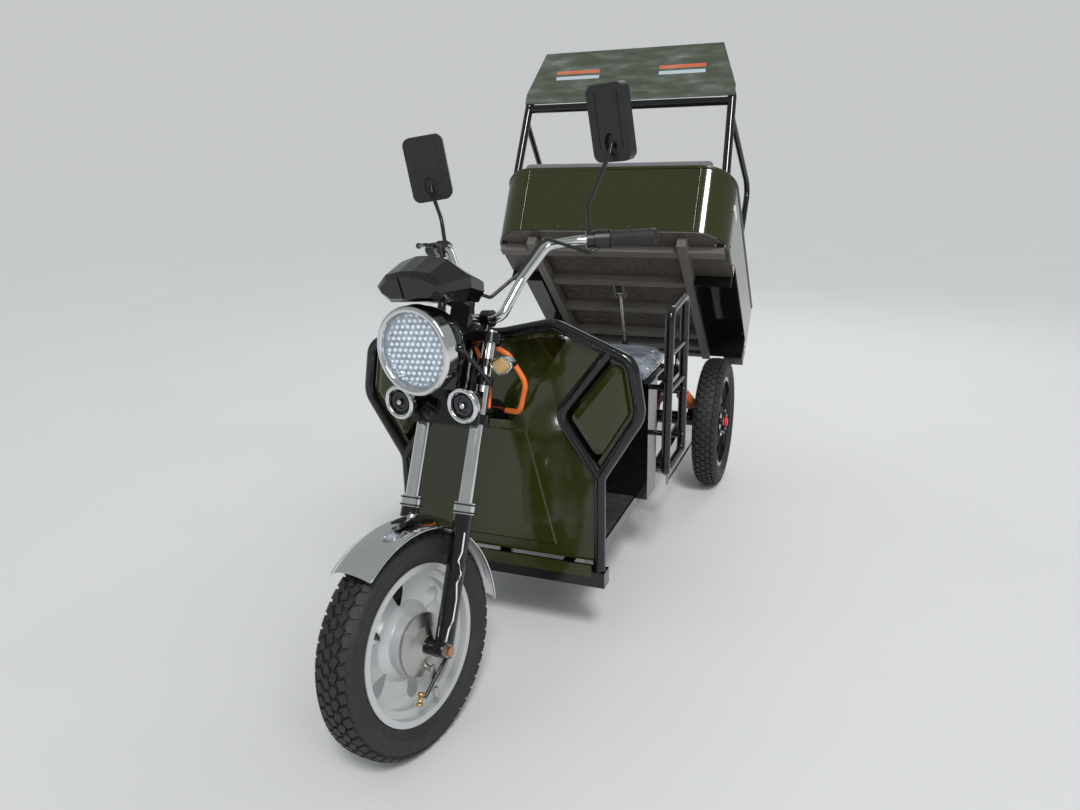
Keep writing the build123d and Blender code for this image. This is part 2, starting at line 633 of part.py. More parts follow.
plate_back = -LEG_FORWARD - YOKE_EYE_RADIUS - SEAT_GAP
low_plate = Pos(0, plate_back - 3, ROUND_LAMP_U + 3) * Box(2 * ROUND_LAMP_X + 20, 6, 74)
lamp_back_y = fork_point(0, ROUND_LAMP_Y, ROUND_LAMP_U).Y + ROUND_LAMP_DEPTH + 4
studs = Part()
for side in (1, -1):
    stud_root = fork_point(side * ROUND_LAMP_X, plate_back - 3, ROUND_LAMP_U + 12)
    stud_tip = Vector(stud_root.X, lamp_back_y + SEAT_GAP, fork_point(0, ROUND_LAMP_Y, ROUND_LAMP_U).Z)
    studs += tube([Vector(stud_tip.X, stud_root.Y + 4, stud_tip.Z), stud_tip], 6)
ears = []
boss_face = HEADLIGHT_RADIUS + SEAT_GAP
for side in (1, -1):
    lamp_centre = fork_point(0, HEADLIGHT_Y, HEADLIGHT_U)
    ring_place = fork * Pos(side * LEG_OFFSET, -LEG_FORWARD, HEADLIGHT_U - 26)
    ring = ring_place * (Cylinder(21, 20) - Cylinder(LEG_TUBE_RADIUS + SEAT_GAP, 30))
    start = fork_point(side * (LEG_OFFSET + 19), -LEG_FORWARD - 10, HEADLIGHT_U - 26)
    end = Vector(side * (boss_face + 8), lamp_centre.Y + BEZEL_DEPTH + 10, lamp_centre.Z)
    boss = rod_x(9, side * boss_face, side * (boss_face + 11), end.Y, end.Z)
    ears.append(ring + tube([start, end], 5) + boss)
keep("lamp_brackets", turned(fork * low_plate + studs), *[turned(ear) for ear in ears])

lamp_ring = ROUND_LAMP_RADIUS - 5
round_body = turned_profile(
    [(0, -12), (lamp_ring - 3, -12), (lamp_ring - 3, -2), (ROUND_LAMP_RADIUS - 2, -2), (ROUND_LAMP_RADIUS - 2, -10),
     (26, -ROUND_LAMP_DEPTH), (0, -ROUND_LAMP_DEPTH - 4)],
    Axis.Z,
)
round_body += Torus(lamp_ring, 5)
round_lens = turned_profile(
    [(0, 0), (6, 0), (8, -5), (14, -5), (16, -2), (22, -2), (25, -6), (lamp_ring - 5.5, -6),
     (lamp_ring - 5.5, -12 + SEAT_GAP), (0, -12 + SEAT_GAP)],
    Axis.Z,
)
lamp_places = [
    Pos(*fork_point(side * ROUND_LAMP_X, ROUND_LAMP_Y, ROUND_LAMP_U)) * Rot(90, 0, 0) for side in (1, -1)
]
keep("round_lamps", *[turned(place * round_body) for place in lamp_places])
keep("round_lenses", *[turned(place * round_lens) for place in lamp_places])

SIGNAL_SECTIONS = [(-26, 0.34), (-8, 0.8), (18, 1.0), (22, 0.96)]  # distance ahead of the stalk, share of full size


def signal_face(scale):
    """The rounded four-sided outline of a turn signal."""
    corners = [(34 * scale, 2 * scale), (4 * scale, 24 * scale), (-30 * scale, 6 * scale), (-2 * scale, -22 * scale)]
    return fillet(make_face(Polyline(*corners, close=True)).vertices(), 9 * scale)


signals = []
lenses = []
for side in (1, -1):
    ring_place = fork * Pos(side * LEG_OFFSET, -LEG_FORWARD, SIGNAL_U)
    ring = ring_place * (Cylinder(21, 16) - Cylinder(LEG_TUBE_RADIUS + SEAT_GAP, 30))
    centre = fork_point(side * SIGNAL_X, -LEG_FORWARD, SIGNAL_U)
    place = Pos(*centre) * Rot(90, 0, 0)
    body = loft([place * Pos(0, 0, z) * signal_face(scale) for z, scale in SIGNAL_SECTIONS], ruled=True)
    stalk = tube([fork_point(side * (LEG_OFFSET + 19), -LEG_FORWARD, SIGNAL_U), centre], 6)
    signals.append(turned(ring + body + stalk))
    lens_foot = SIGNAL_SECTIONS[-1][0] + SEAT_GAP
    lenses.append(turned(place * Pos(0, 0, lens_foot) * extrude(signal_face(0.86), 5, taper=30)))
keep("turn_signals", *signals)
keep("turn_lenses", *lenses)

# Leg shield

HOOP_POINTS = [  # x and z of the left half, from the foot on the cross member to the middle of the top
    (LEG_X, DECK_Z + SEAT_GAP),
    (LEG_X, 459),
    (357, 620),
    (336, 745),
    (150, 823),
    (0, 788),
]
HOOP_BENDS = [60, 60, 45, 60]
HOOP_MIDDLE_BEND = 150
BRANCH_CORNER = (160, 606)
LOBE_TOP = (284, 766.8)


def shield_tubes(radius):
    """The bent hoop with its two branches, as round bars of the given radius."""
    left = [(x, SHIELD_Y, z) for x, z in HOOP_POINTS]
    right = [(-x, y, z) for x, y, z in reversed(left[:-1])]
    hoop = tube(left + right, radius, [*HOOP_BENDS, HOOP_MIDDLE_BEND, *reversed(HOOP_BENDS)])
    junction = HOOP_POINTS[1]
    branch = [(x, SHIELD_Y, z) for x, z in (junction, BRANCH_CORNER, LOBE_TOP)]
    hoop += tube(branch, radius, 34)
    hoop += mirror(tube(branch, radius, 34), about=Plane.YZ)
    return hoop


keep("shield_hoop", shield_tubes(HOOP_RADIUS))
tube_room = shield_tubes(HOOP_RADIUS + SEAT_GAP)


def shield_sheet(half, behind, thickness, mirrored=True):
    """A flat sheet across the shield from the (x, z) points of its left half."""
    outline = half + [(-x, z) for x, z in reversed(half) if x > 0] if mirrored else half
    plane = Plane(origin=(0, SHIELD_Y + behind, 0), x_dir=(1, 0, 0), z_dir=(0, -1, 0))
    return plane * extrude(make_face(Polyline(*outline, close=True)), -thickness)


APRON_HALF = [  # x, z of the left half, from the bottom round to the foot of the neck recess
    (0, APRON_BOTTOM_Z), (LEG_X, APRON_BOTTOM_Z), (LEG_X, 459), BRANCH_CORNER, LOBE_TOP, (194, 804.5), (40, 580)
]
LOBE = [HOOP_POINTS[1], HOOP_POINTS[2], HOOP_POINTS[3], LOBE_TOP, BRANCH_CORNER]


def biggest(shape):
    """The largest solid of a piece, without the slivers that a cut leaves."""
    return shape.solids().sort_by(SortBy.VOLUME)[-1]


apron = biggest(shield_sheet(APRON_HALF, 0, PANEL_THICKNESS) - tube_room)
lobe_plane = Plane(origin=(0, SHIELD_Y + PANEL_THICKNESS, 0), x_dir=(1, 0, 0), z_dir=(0, -1, 0))
lobe_sharp = offset(make_face(Polyline(*LOBE, close=True)), -LOBE_INSET, kind=Kind.INTERSECTION)
lobe_face = fillet(lobe_sharp.vertices(), 20)


def dome(inset):
    """A raised lobe panel as a solid, with a steep edge and a shallow crown."""
    edge = extrude(offset(lobe_face, -inset) if inset else lobe_face, LOBE_EDGE - inset, taper=18)
    crown = extrude(edge.faces().sort_by(Axis.Z)[-1], LOBE_CROWN, taper=62)
    return edge + crown


lobe = lobe_plane * (dome(0) - dome(PANEL_THICKNESS))
field = shield_sheet([(0, 268), (150, 268), (76, 560), (0, 560)], 0, PANEL_THICKNESS)
apron += extrude(field.faces().sort_by(Axis.Y)[0], FIELD_RAISE, taper=45)
strip = block(-LEG_X + 16, LEG_X - 16, SHIELD_Y - 16 - SEAT_GAP - PANEL_THICKNESS, SHIELD_Y - 16 - SEAT_GAP, 203, 234)
keep("shield_panels", apron, both(lobe), strip)

cover_back = shield_sheet([(0, DECK_Z + 18), (LEG_X, DECK_Z + 18), *HOOP_POINTS[1:]], 0, 1)
cover_face = offset(cover_back.faces().sort_by(Axis.Y)[0], -HOOP_RADIUS - SEAT_GAP)
cover_hollow = offset(cover_face, -PANEL_THICKNESS)
cover_mouth = offset(cover_face, -COVER_FLANGE)
cover_front = PANEL_THICKNESS + SEAT_GAP
flange_back = cover_front + PANEL_THICKNESS
cover = extrude(Pos(0, cover_front, 0) * cover_face, COVER_DEPTH - cover_front, dir=(0, 1, 0))
cover -= extrude(Pos(0, cover_front, 0) * cover_mouth, PANEL_THICKNESS, dir=(0, 1, 0))
cover -= extrude(Pos(0, flange_back, 0) * cover_hollow, COVER_DEPTH - flange_back - PANEL_THICKNESS, dir=(0, 1, 0))
cover -= tube_room
cover -= block(-60, 60, SHIELD_Y, SHIELD_Y + COVER_DEPTH - PANEL_THICKNESS, DECK_Z, DECK_Z + 60)
keep("shield_cover", biggest(cover))

# Chassis

rear_end_y = HINGE_Y + 20
half_rail = RAIL_HEIGHT / 2
rail_path = FilletPolyline(
    (RAIL_X, SHIELD_Y, RAIL_Z), (RAIL_X, KICK_START_Y, RAIL_Z), (RAIL_X, KICK_END_Y, REAR_RAIL_Z),
    (RAIL_X, rear_end_y, REAR_RAIL_Z), radius=60,
)
rail_section = Plane(origin=(RAIL_X, SHIELD_Y, RAIL_Z), x_dir=(1, 0, 0), z_dir=(0, 1, 0))
rail = sweep(rail_section * Rectangle(RAIL_WIDTH, RAIL_HEIGHT), path=rail_path)
frame = rail + mirror(rail, about=Plane.YZ)
frame += block(-LEG_X - 16, LEG_X + 16, SHIELD_Y - 16, SHIELD_Y + 24, RAIL_Z - half_rail, DECK_Z)
strut_cross_y = STRUT_LOWER_Y + 28
CROSS_MEMBERS = [  # y of the front face, centre height
    (FRONT_AXLE_Y + 745, RAIL_Z),
    (FRONT_AXLE_Y + 1215, RAIL_Z),
    (FRONT_AXLE_Y + 1440, REAR_RAIL_Z),
    (strut_cross_y, REAR_RAIL_Z),
    (rear_end_y - 30, REAR_RAIL_Z),
]
for y, z in CROSS_MEMBERS:
    frame += block(-RAIL_X, RAIL_X, y, y + 30, z - half_rail, z + half_rail)

head_low = LOWER_YOKE_U + YOKE_THICKNESS + 1
head_high = UPPER_YOKE_U - 1
head_tube = fork * Pos(0, 0, (head_low + head_high) / 2) * Cylinder(HEAD_TUBE_RADIUS, head_high - head_low)
neck_y = SHIELD_Y + PANEL_THICKNESS + 7 + DOWN_TUBE_RADIUS
down_tube = tube(
    [fork_point(0, 18, head_low + 30), (0, neck_y, 606), (0, neck_y, RAIL_Z)], DOWN_TUBE_RADIUS, 60
)
top_tube = tube([fork_point(0, 18, head_high - 44), (0, SHIELD_Y, HOOP_POINTS[-1][1] + 6)], 13)
LEAD_POINTS = [  # x, y, z of the battery lead's loop beside the neck, from the down tube up to the top tube
    (0, neck_y, 596),
    (72, neck_y - 56, 612),
    (96, neck_y - 72, 690),
    (52, neck_y - 66, 752),
    (0, neck_y - 64, 779),
]
lead = tube([Vector(*p) for p in LEAD_POINTS], LEAD_RADIUS, 36)
keep("neck_leads", biggest(lead - down_tube - top_tube))
neck = head_tube + down_tube + (top_tube - tube_room)
frame += neck - fork * Pos(0, 0, (head_low + head_high) / 2) * Cylinder(STEM_RADIUS + SEAT_GAP, 400)

ear_half = 4.0
ear_x = RAIL_X - 3
HINGE_LUGS = [  # inner and outer face of each lug beside a hinge ear
    (ear_x - ear_half - HINGE_SIDE_GAP - 6, ear_x - ear_half - HINGE_SIDE_GAP),
    (ear_x + ear_half + HINGE_SIDE_GAP, ear_x + ear_half + HINGE_SIDE_GAP + 6),
]
for x0, x1 in HINGE_LUGS:
    lug = rod_x(18, x0, x1, HINGE_Y, HINGE_Z) + block(x0, x1, HINGE_Y - 18, HINGE_Y + 18, DECK_Z + 190, HINGE_Z)
    frame += lug + mirror(lug, about=Plane.YZ)
pin = rod_x(HINGE_PIN_RADIUS, HINGE_LUGS[0][0], HINGE_LUGS[1][1], HINGE_Y, HINGE_Z)
frame += pin + mirror(pin, about=Plane.YZ)


def clevis_plates(outline):
    """Two upright plates either side of the strut's eye, from their outline in y and z."""
    face = make_face(Polyline(*outline, close=True))
    plane = Plane(origin=(CLEVIS_INNER, 0, 0), x_dir=(0, 1, 0), z_dir=(1, 0, 0))
    plate = extrude(plane * face, CLEVIS_PLATE)
    return plate + mirror(plate, about=Plane.YZ)


frame += clevis_plates(
    [(STRUT_LOWER_Y - 12, STRUT_LOWER_Z - 6), (STRUT_LOWER_Y + 10, STRUT_LOWER_Z - 12),
     (strut_cross_y + 30, REAR_RAIL_Z - half_rail), (strut_cross_y, REAR_RAIL_Z - half_rail),
     (STRUT_LOWER_Y - 12, STRUT_LOWER_Z + 10)]
)
frame += rod_x(STRUT_PIN_RADIUS, -CLEVIS_INNER, CLEVIS_INNER, STRUT_LOWER_Y, STRUT_LOWER_Z)
keep("frame", frame)

footboard_front = SHIELD_Y + COVER_DEPTH + 2
board_top = DECK_Z + FOOTBOARD_THICKNESS
board = block(-FOOTBOARD_HALF_WIDTH, FOOTBOARD_HALF_WIDTH, footboard_front, FOOTBOARD_END_Y, DECK_Z, board_top)
edge = block(FOOTBOARD_HALF_WIDTH - 4, FOOTBOARD_HALF_WIDTH, footboard_front, FOOTBOARD_END_Y, DECK_Z - 22,
             board_top + MAT_THICKNESS)
keep("footboard", board + edge + mirror(edge, about=Plane.YZ))
mat = block(-FOOTBOARD_HALF_WIDTH + 6, FOOTBOARD_HALF_WIDTH - 6, footboard_front + 6, FOOTBOARD_END_Y - 4, board_top,
            board_top + MAT_THICKNESS)
keep("foot_mat", mat)

seat_bottom = SEAT_TOP_Z - CUSHION_THICKNESS
lid_bottom = seat_bottom - PAN_THICKNESS
box_front_y = FOOTBOARD_END_Y + SEAT_GAP
battery_box = block(-BATTERY_BOX_HALF_WIDTH, BATTERY_BOX_HALF_WIDTH, box_front_y, GUARD_REAR_Y, DECK_Z,
                    lid_bottom - SEAT_GAP)
battery_box -= block(-BATTERY_BOX_HALF_WIDTH + 3, BATTERY_BOX_HALF_WIDTH - 3, box_front_y + 3, GUARD_REAR_Y - 3,
                     DECK_Z + 3, lid_bottom + 10)
seat_pin_y = SEAT_FRONT_Y + 18
seat_pin_z = lid_bottom - SEAT_PIN_DROP
bearer_outline = [
    (box_front_y, lid_bottom - 110), (box_front_y, lid_bottom - 8), (seat_pin_y, lid_bottom - 8),
    (seat_pin_y - 6, seat_pin_z), (seat_pin_y, seat_pin_z - 8),
]
bearer_face = make_face(Polyline(*bearer_outline, close=True))
for x in (-SEAT_HINGE_X, SEAT_HINGE_X):
    battery_box += rod_x(SEAT_PIN_RADIUS, x - 22, x + 22, seat_pin_y, seat_pin_z)
    bearer_plane = Plane(origin=(x - 4, 0, 0), x_dir=(0, 1, 0), z_dir=(1, 0, 0))
    battery_box += extrude(bearer_plane * bearer_face, 8)
keep("battery_box", battery_box)
keep("battery", block(-180, 180, box_front_y + 6, GUARD_REAR_Y - 6, DECK_Z + 3, DECK_Z + 223))
pan = block(-SEAT_HALF_WIDTH + 8, SEAT_HALF_WIDTH - 8, SEAT_FRONT_Y + 6, SEAT_BACK_Y - 4, lid_bottom, seat_bottom)
for x in (-SEAT_HINGE_X, SEAT_HINGE_X):
    for x0, x1 in ((x - 22, x - 9), (x + 9, x + 22)):
        pan += rod_x(7, x0, x1, seat_pin_y, seat_pin_z)
        pan += block(x0, x1, seat_pin_y - 5, seat_pin_y + 5, seat_pin_z, lid_bottom)
    pan -= rod_x(SEAT_PIN_RADIUS + RUNNING_GAP, x - 30, x + 30, seat_pin_y, seat_pin_z)
keep("seat_pan", pan)
cushion = block(-SEAT_HALF_WIDTH, SEAT_HALF_WIDTH, SEAT_FRONT_Y, SEAT_BACK_Y, seat_bottom + SEAT_GAP, SEAT_TOP_Z)
cushion = fillet(cushion.edges().filter_by(Axis.Z), 30)
keep("seat_cushion", fillet(cushion.edges().group_by(Axis.Z)[-1], 16))


def guard():
    """One side guard: a bent tube frame with two cross bars and its braces to the battery box."""
    corners = [
        (GUARD_X, GUARD_FRONT_Y, GUARD_BOTTOM_Z),
        (GUARD_X, GUARD_FRONT_Y + 22, GUARD_TOP_Z - 18),
        (GUARD_X, GUARD_REAR_Y, GUARD_TOP_Z),
        (GUARD_X, GUARD_REAR_Y, GUARD_BOTTOM_Z),
    ]
    ring = closed_tube(corners, GUARD_RADIUS, 26)
    for z in (573, 674):
        ring += tube([(GUARD_X, GUARD_FRONT_Y + 14, z), (GUARD_X, GUARD_REAR_Y, z)], GUARD_BAR_RADIUS)
    brace_y = GUARD_REAR_Y - 30
    for z in (400, 540):
        ring += tube([(GUARD_X, brace_y, z), (BATTERY_BOX_HALF_WIDTH + SEAT_GAP, brace_y, z)], GUARD_BAR_RADIUS)
        ring += tube([(GUARD_X, brace_y, z), (GUARD_X, GUARD_REAR_Y, z)], GUARD_BAR_RADIUS)
    return ring


keep("side_guards", both(guard()))

# Rear axle and suspension

axle_tube_end = WHEEL_X - 58
motor_x = 20
housing = rod_x(AXLE_TUBE_RADIUS, -axle_tube_end, axle_tube_end, REAR_AXLE_Y, TYRE_RADIUS)
housing += Pos(motor_x, REAR_AXLE_Y, TYRE_RADIUS) * Sphere(62)
housing += Pos(motor_x, REAR_AXLE_Y - 55, TYRE_RADIUS) * Rot(90, 0, 0) * Cylinder(40, 60)
housing += Pos(motor_x, REAR_AXLE_Y - 130, TYRE_RADIUS) * Rot(90, 0, 0) * Cylinder(55, 160)
stub = rod_x(AXLE_RADIUS, axle_tube_end, WHEEL_X + 32, REAR_AXLE_Y, TYRE_RADIUS)
stub += rod_x(13, WHEEL_X + 24 + 1, WHEEL_X + 34, REAR_AXLE_Y, TYRE_RADIUS)
back_plate = Pos(0, REAR_AXLE_Y, TYRE_RADIUS) * turned_profile(
    [(axle_tube_end, 5), (axle_tube_end, DRUM_RADIUS - 10), (axle_tube_end + 4, DRUM_RADIUS),
     (axle_tube_end + 8, DRUM_RADIUS), (axle_tube_end + 8, 5)],
    Axis.X,
)
housing += stub + mirror(stub, about=Plane.YZ) + back_plate + mirror(back_plate, about=Plane.YZ)
keep("rear_axle", housing)

arm = tube([(ARM_X, REAR_AXLE_Y - 30, TYRE_RADIUS), (ARM_X, KICK_START_Y - 20, RAIL_Z + 6)], 14)
arm += rod_x(16, RAIL_X + RAIL_WIDTH / 2 + SEAT_GAP, ARM_X + 14, KICK_START_Y - 28, RAIL_Z + 4)
arm += rod_x(34, ARM_X - 8, ARM_X + 8, REAR_AXLE_Y, TYRE_RADIUS)
arm -= rod_x(AXLE_TUBE_RADIUS + SEAT_GAP, 0, 400, REAR_AXLE_Y, TYRE_RADIUS)
keep("trailing_arms", both(arm))

shock_low = Vector(SHOCK_X, REAR_AXLE_Y, TYRE_RADIUS + AXLE_TUBE_RADIUS + SEAT_GAP + 11)
shock_high = Vector(SHOCK_X, FRONT_AXLE_Y + 1478, REAR_RAIL_Z + 25)
shock_way = (shock_high - shock_low).normalized()
shock = tube([shock_low, shock_high], 9)
for end in (shock_low, shock_high):
    shock += rod_x(11, SHOCK_X - 12, SHOCK_X + 12, end.Y, end.Z)
shock += rod_x(7, RAIL_X + RAIL_WIDTH / 2 + SEAT_GAP, SHOCK_X, shock_high.Y, REAR_RAIL_Z + 10)
shock += block(RAIL_X + RAIL_WIDTH / 2 + 12, RAIL_X + RAIL_WIDTH / 2 + 18, shock_high.Y - 9, shock_high.Y + 9,
               REAR_RAIL_Z + 3, shock_high.Z + 9)
shock += rod_x(7, RAIL_X + RAIL_WIDTH / 2 + 12, SHOCK_X, shock_high.Y, shock_high.Z)
keep("shock_absorbers", both(shock))
spring = tube([shock_low + shock_way * 30, shock_high - shock_way * 30], 24)
spring -= tube([shock_low, shock_high], 9 + SEAT_GAP)
keep("shock_springs", both(spring))

shaft_y = KICK_START_Y - 75
rod_z = TYRE_RADIUS - DRUM_RADIUS + 4
brake = rod_x(8, RAIL_X + RAIL_WIDTH / 2 + SEAT_GAP, BRAKE_ROD_X + 4, shaft_y, RAIL_Z)
brake += block(BRAKE_ROD_X - 3, BRAKE_ROD_X + 3, shaft_y - 9, shaft_y + 9, rod_z - 8, RAIL_Z)
brake += tube([(BRAKE_ROD_X, shaft_y, rod_z), (BRAKE_ROD_X, REAR_AXLE_Y - 16, rod_z)], BRAKE_ROD_RADIUS)
brake += Pos(BRAKE_ROD_X, REAR_AXLE_Y - 10, rod_z) * Rot(90, 0, 0) * Cylinder(6, 16)
brake += block(BRAKE_ROD_X - 3, BRAKE_ROD_X + 3, REAR_AXLE_Y - 12, REAR_AXLE_Y + 8, rod_z - 8, rod_z + 32)
brake += rod_x(7, BRAKE_ROD_X - 3, axle_tube_end - SEAT_GAP, REAR_AXLE_Y - 2, rod_z + 26)
keep("brake_rods", both(brake))

# Load box, modelled level and then tipped about its hinge


def tipped(shape):
    """Turn a piece of the load box up about its hinge."""
    return shape.rotate(Axis((0, HINGE_Y, HINGE_Z), (1, 0, 0)), -TIP_REST)


def at(e1, e2):
    """Hinge coordinates as y and z of the level box."""
    return HINGE_Y - e1, HINGE_Z + e2


def box_block(x0, x1, e1_low, e1_high, e2_low, e2_high):
    """A block given by the load box's own coordinates."""
    return block(x0, x1, HINGE_Y - e1_high, HINGE_Y - e1_low, HINGE_Z + e2_low, HINGE_Z + e2_high)


def plan(inset, front, rear, e2):
    """The outline of the box seen from above, with rounded front corners."""
    half = BOX_HALF_WIDTH - inset
    radius = BOX_CORNER_RADIUS - inset
    front_y = HINGE_Y - front + inset
    rear_y = HINGE_Y - rear
    corner = radius * (1 - math.sqrt(0.5))
    lines = [
        Line((half, rear_y), (half, front_y + radius)),
        ThreePointArc((half, front_y + radius), (half - corner, front_y + corner), (half - radius, front_y)),
        Line((half - radius, front_y), (-half + radius, front_y)),
        ThreePointArc((-half + radius, front_y), (-half + corner, front_y + corner), (-half, front_y + radius)),
        Line((-half, front_y + radius), (-half, rear_y)),
        Line((-half, rear_y), (half, rear_y)),
    ]
    return Pos(0, 0, HINGE_Z + e2) * make_face(lines)


def box_shell(inset, rear):
    """The leaning body of the box between its floor and its rim."""
    return loft(
        [plan(inset, BOX_FRONT_BOTTOM, rear, WALL_BOTTOM), plan(inset, BOX_FRONT_TOP, rear, WALL_TOP)], ruled=True
    )


walls = box_shell(0, BOX_REAR) - box_shell(BOX_WALL, BOX_REAR - 20)
lip = extrude(plan(0, BOX_FRONT_TOP, BOX_REAR, WALL_TOP), BOX_WALL)
walls += lip - extrude(plan(RIM_LIP, BOX_FRONT_TOP, BOX_REAR - 20, WALL_TOP), BOX_WALL)
walls -= box_block(-500, 500, HOUSING_REAR, HOUSING_FRONT, 0, HOUSING_TOP)
rim_top = WALL_TOP + BOX_WALL


def post_point(x, e2):
    """A point on the leaning line of the hoop posts."""
    return (x, *at(POST_FOOT_E1 + (e2 - FLOOR_UNDER) * POST_SLOPE, e2))


bead_e2 = rim_top - BEAD_TUBE_RADIUS + 2
bead_outline = plan(BEAD_INSET, BOX_FRONT_TOP, BOX_REAR, bead_e2).edges()
bead_path = Wire([edge for edge in bead_outline if edge.center().Y < HINGE_Y - BOX_REAR - 1])
bead_start = Plane(origin=bead_path @ 0, z_dir=bead_path % 0)
walls += sweep(bead_start * Circle(BEAD_TUBE_RADIUS), path=bead_path)
seam = tube([(SEAM_X, *at(BOX_FRONT_BOTTOM, WALL_BOTTOM)), (SEAM_X, *at(BOX_FRONT_TOP, WALL_TOP))], SEAM_RADIUS)
walls += seam + mirror(seam, about=Plane.YZ)

post_line = [post_point(POST_HALF_WIDTH, FLOOR_UNDER - POST_RADIUS), post_point(POST_TOP_HALF_WIDTH, HEADBOARD_LOW)]
post_room = tube(post_line, POST_RADIUS + SEAT_GAP)
walls -= post_room + mirror(post_room, about=Plane.YZ)
keep("box_walls", tipped(walls))

floor = extrude(plan(BOX_WALL + SEAT_GAP, BOX_FRONT_BOTTOM, BOX_REAR + 4, FLOOR_UNDER), FLOOR_THICKNESS)
wheel_gap = box_block(HOUSING_X - SEAT_GAP, 500, HOUSING_REAR - SEAT_GAP, HOUSING_FRONT + SEAT_GAP, 0, 200)
foot_hole = tube(post_line, POST_RADIUS + FOOT_HOLE_GAP)
floor -= wheel_gap + mirror(wheel_gap, about=Plane.YZ) + foot_hole + mirror(foot_hole, about=Plane.YZ)
PIP_ROWS = [660, 560, 520, 480, 387, 347, 307, 214, 174, 134]  # e1 of each row of pressed pips
pip_sketch = Sketch()
for row, e1 in enumerate(PIP_ROWS):
    for column in range(PIP_COLUMNS):
        x = (column - (PIP_COLUMNS - 1) / 2 + (row % 2) / 2 - 0.25) * PIP_PITCH
        beside_strut = abs(x) > CLEVIS_INNER + CLEVIS_PLATE + PIP_LENGTH / 2 + SEAT_GAP
        if beside_strut or abs(e1 - STRUT_UPPER_E1) > 80:
            pip_sketch += Pos(x, HINGE_Y - e1) * SlotOverall(PIP_LENGTH, PIP_WIDTH)
pips = extrude(Pos(0, 0, HINGE_Z + FLOOR_UNDER) * pip_sketch, PIP_HEIGHT, dir=(0, 0, -1), taper=45)
keep("box_floor", tipped(floor + pips))

RIBS = [  # e1 of the centre and half width of each cross rib
    (606, BOX_HALF_WIDTH - 14),
    (433, HOUSING_X - 4),
    (260, HOUSING_X - 4),
    (87, HOUSING_X - 4),
    (0, HOUSING_X - 4),
]
ribs = Part()
for e1, half in RIBS:
    ribs += box_block(-half, half, e1 - RIB_WIDTH / 2, e1 + RIB_WIDTH / 2, FLOOR_UNDER - RIB_DEPTH, FLOOR_UNDER)
long_rail = box_block(HOUSING_X - 34, HOUSING_X - 4, BOX_REAR + 10, BOX_FRONT_BOTTOM - 30,
                      FLOOR_UNDER - RIB_DEPTH - 8, FLOOR_UNDER)
ribs += long_rail + mirror(long_rail, about=Plane.YZ)
ear = rod_x(17, ear_x - ear_half, ear_x + ear_half, *at(0, 0))
ear += box_block(ear_x - ear_half, ear_x + ear_half, -17, 17, 0, FLOOR_UNDER - RIB_DEPTH + 5)
ear -= rod_x(HINGE_PIN_RADIUS + RUNNING_GAP, 0, 400, *at(0, 0))
ribs += ear + mirror(ear, about=Plane.YZ)
upper_y, upper_z = at(STRUT_UPPER_E1, STRUT_UPPER_E2)
ribs += clevis_plates(
    [at(STRUT_UPPER_E1 - 14, STRUT_UPPER_E2 - 12), at(STRUT_UPPER_E1 + 14, STRUT_UPPER_E2 - 12),
     at(433, FLOOR_UNDER - RIB_DEPTH), at(433, FLOOR_UNDER), at(STRUT_UPPER_E1 - 14, FLOOR_UNDER)]
)
bolt_head = rod_x(9, CLEVIS_INNER + CLEVIS_PLATE, CLEVIS_INNER + CLEVIS_PLATE + 5, upper_y, upper_z)
ribs += bolt_head + mirror(bolt_head, about=Plane.YZ)

gate_inner = BOX_REAR - SEAT_GAP
gate_outer = gate_inner - TAILGATE_THICKNESS
gate_pin_e1 = (gate_inner + gate_outer) / 2
gate_pin_e2 = FLOOR_UNDER - 4
GATE_HINGE_X = [-240, 0, 240]
for x in GATE_HINGE_X:
    ribs += rod_x(GATE_PIN_RADIUS, x - 18, x + 18, *at(gate_pin_e1, gate_pin_e2))
    ribs += box_block(x - 3, x + 3, gate_pin_e1, BOX_REAR + 70, gate_pin_e2 - 8, FLOOR_UNDER)
ribs += box_block(-HOUSING_X + 4, HOUSING_X - 4, BOX_REAR + 10, BOX_REAR + 34, FLOOR_UNDER - RIB_DEPTH, FLOOR_UNDER)
keep("box_ribs", tipped(ribs))

gate_low = WALL_BOTTOM + 4
gate_half = BOX_HALF_WIDTH - 1
gate = box_block(-gate_half, gate_half, gate_outer, gate_inner, gate_low, rim_top)
gate -= box_block(-gate_half + BOX_WALL, gate_half - BOX_WALL, gate_outer + BOX_WALL, gate_inner + 1,
                  gate_low + BOX_WALL, rim_top - BOX_WALL)
for x in GATE_HINGE_X:
    for side in (1, -1):
        x0 = x + side * 8
        x1 = x + side * 18
        knuckle = rod_x(9, x0, x1, *at(gate_pin_e1, gate_pin_e2))
        knuckle += box_block(x0, x1, gate_outer, gate_inner, gate_pin_e2, gate_low)
        gate += knuckle - rod_x(GATE_PIN_RADIUS + RUNNING_GAP, x - 40, x + 40, *at(gate_pin_e1, gate_pin_e2))
keep("tailgate", tipped(gate))


def wheel_housing():
    """The black arch over one rear wheel, open at the bottom and to the outside below the wall."""
    outer = box_block(HOUSING_X, BOX_HALF_WIDTH - BOX_WALL - SEAT_GAP, HOUSING_REAR, HOUSING_FRONT,
                      HOUSING_BOTTOM, HOUSING_TOP + 3)
    inner = box_block(HOUSING_X + 3, BOX_HALF_WIDTH + 10, HOUSING_REAR + 3, HOUSING_FRONT - 3, 0, HOUSING_TOP)
    return outer - inner


keep("wheel_housings", both(tipped(wheel_housing())))

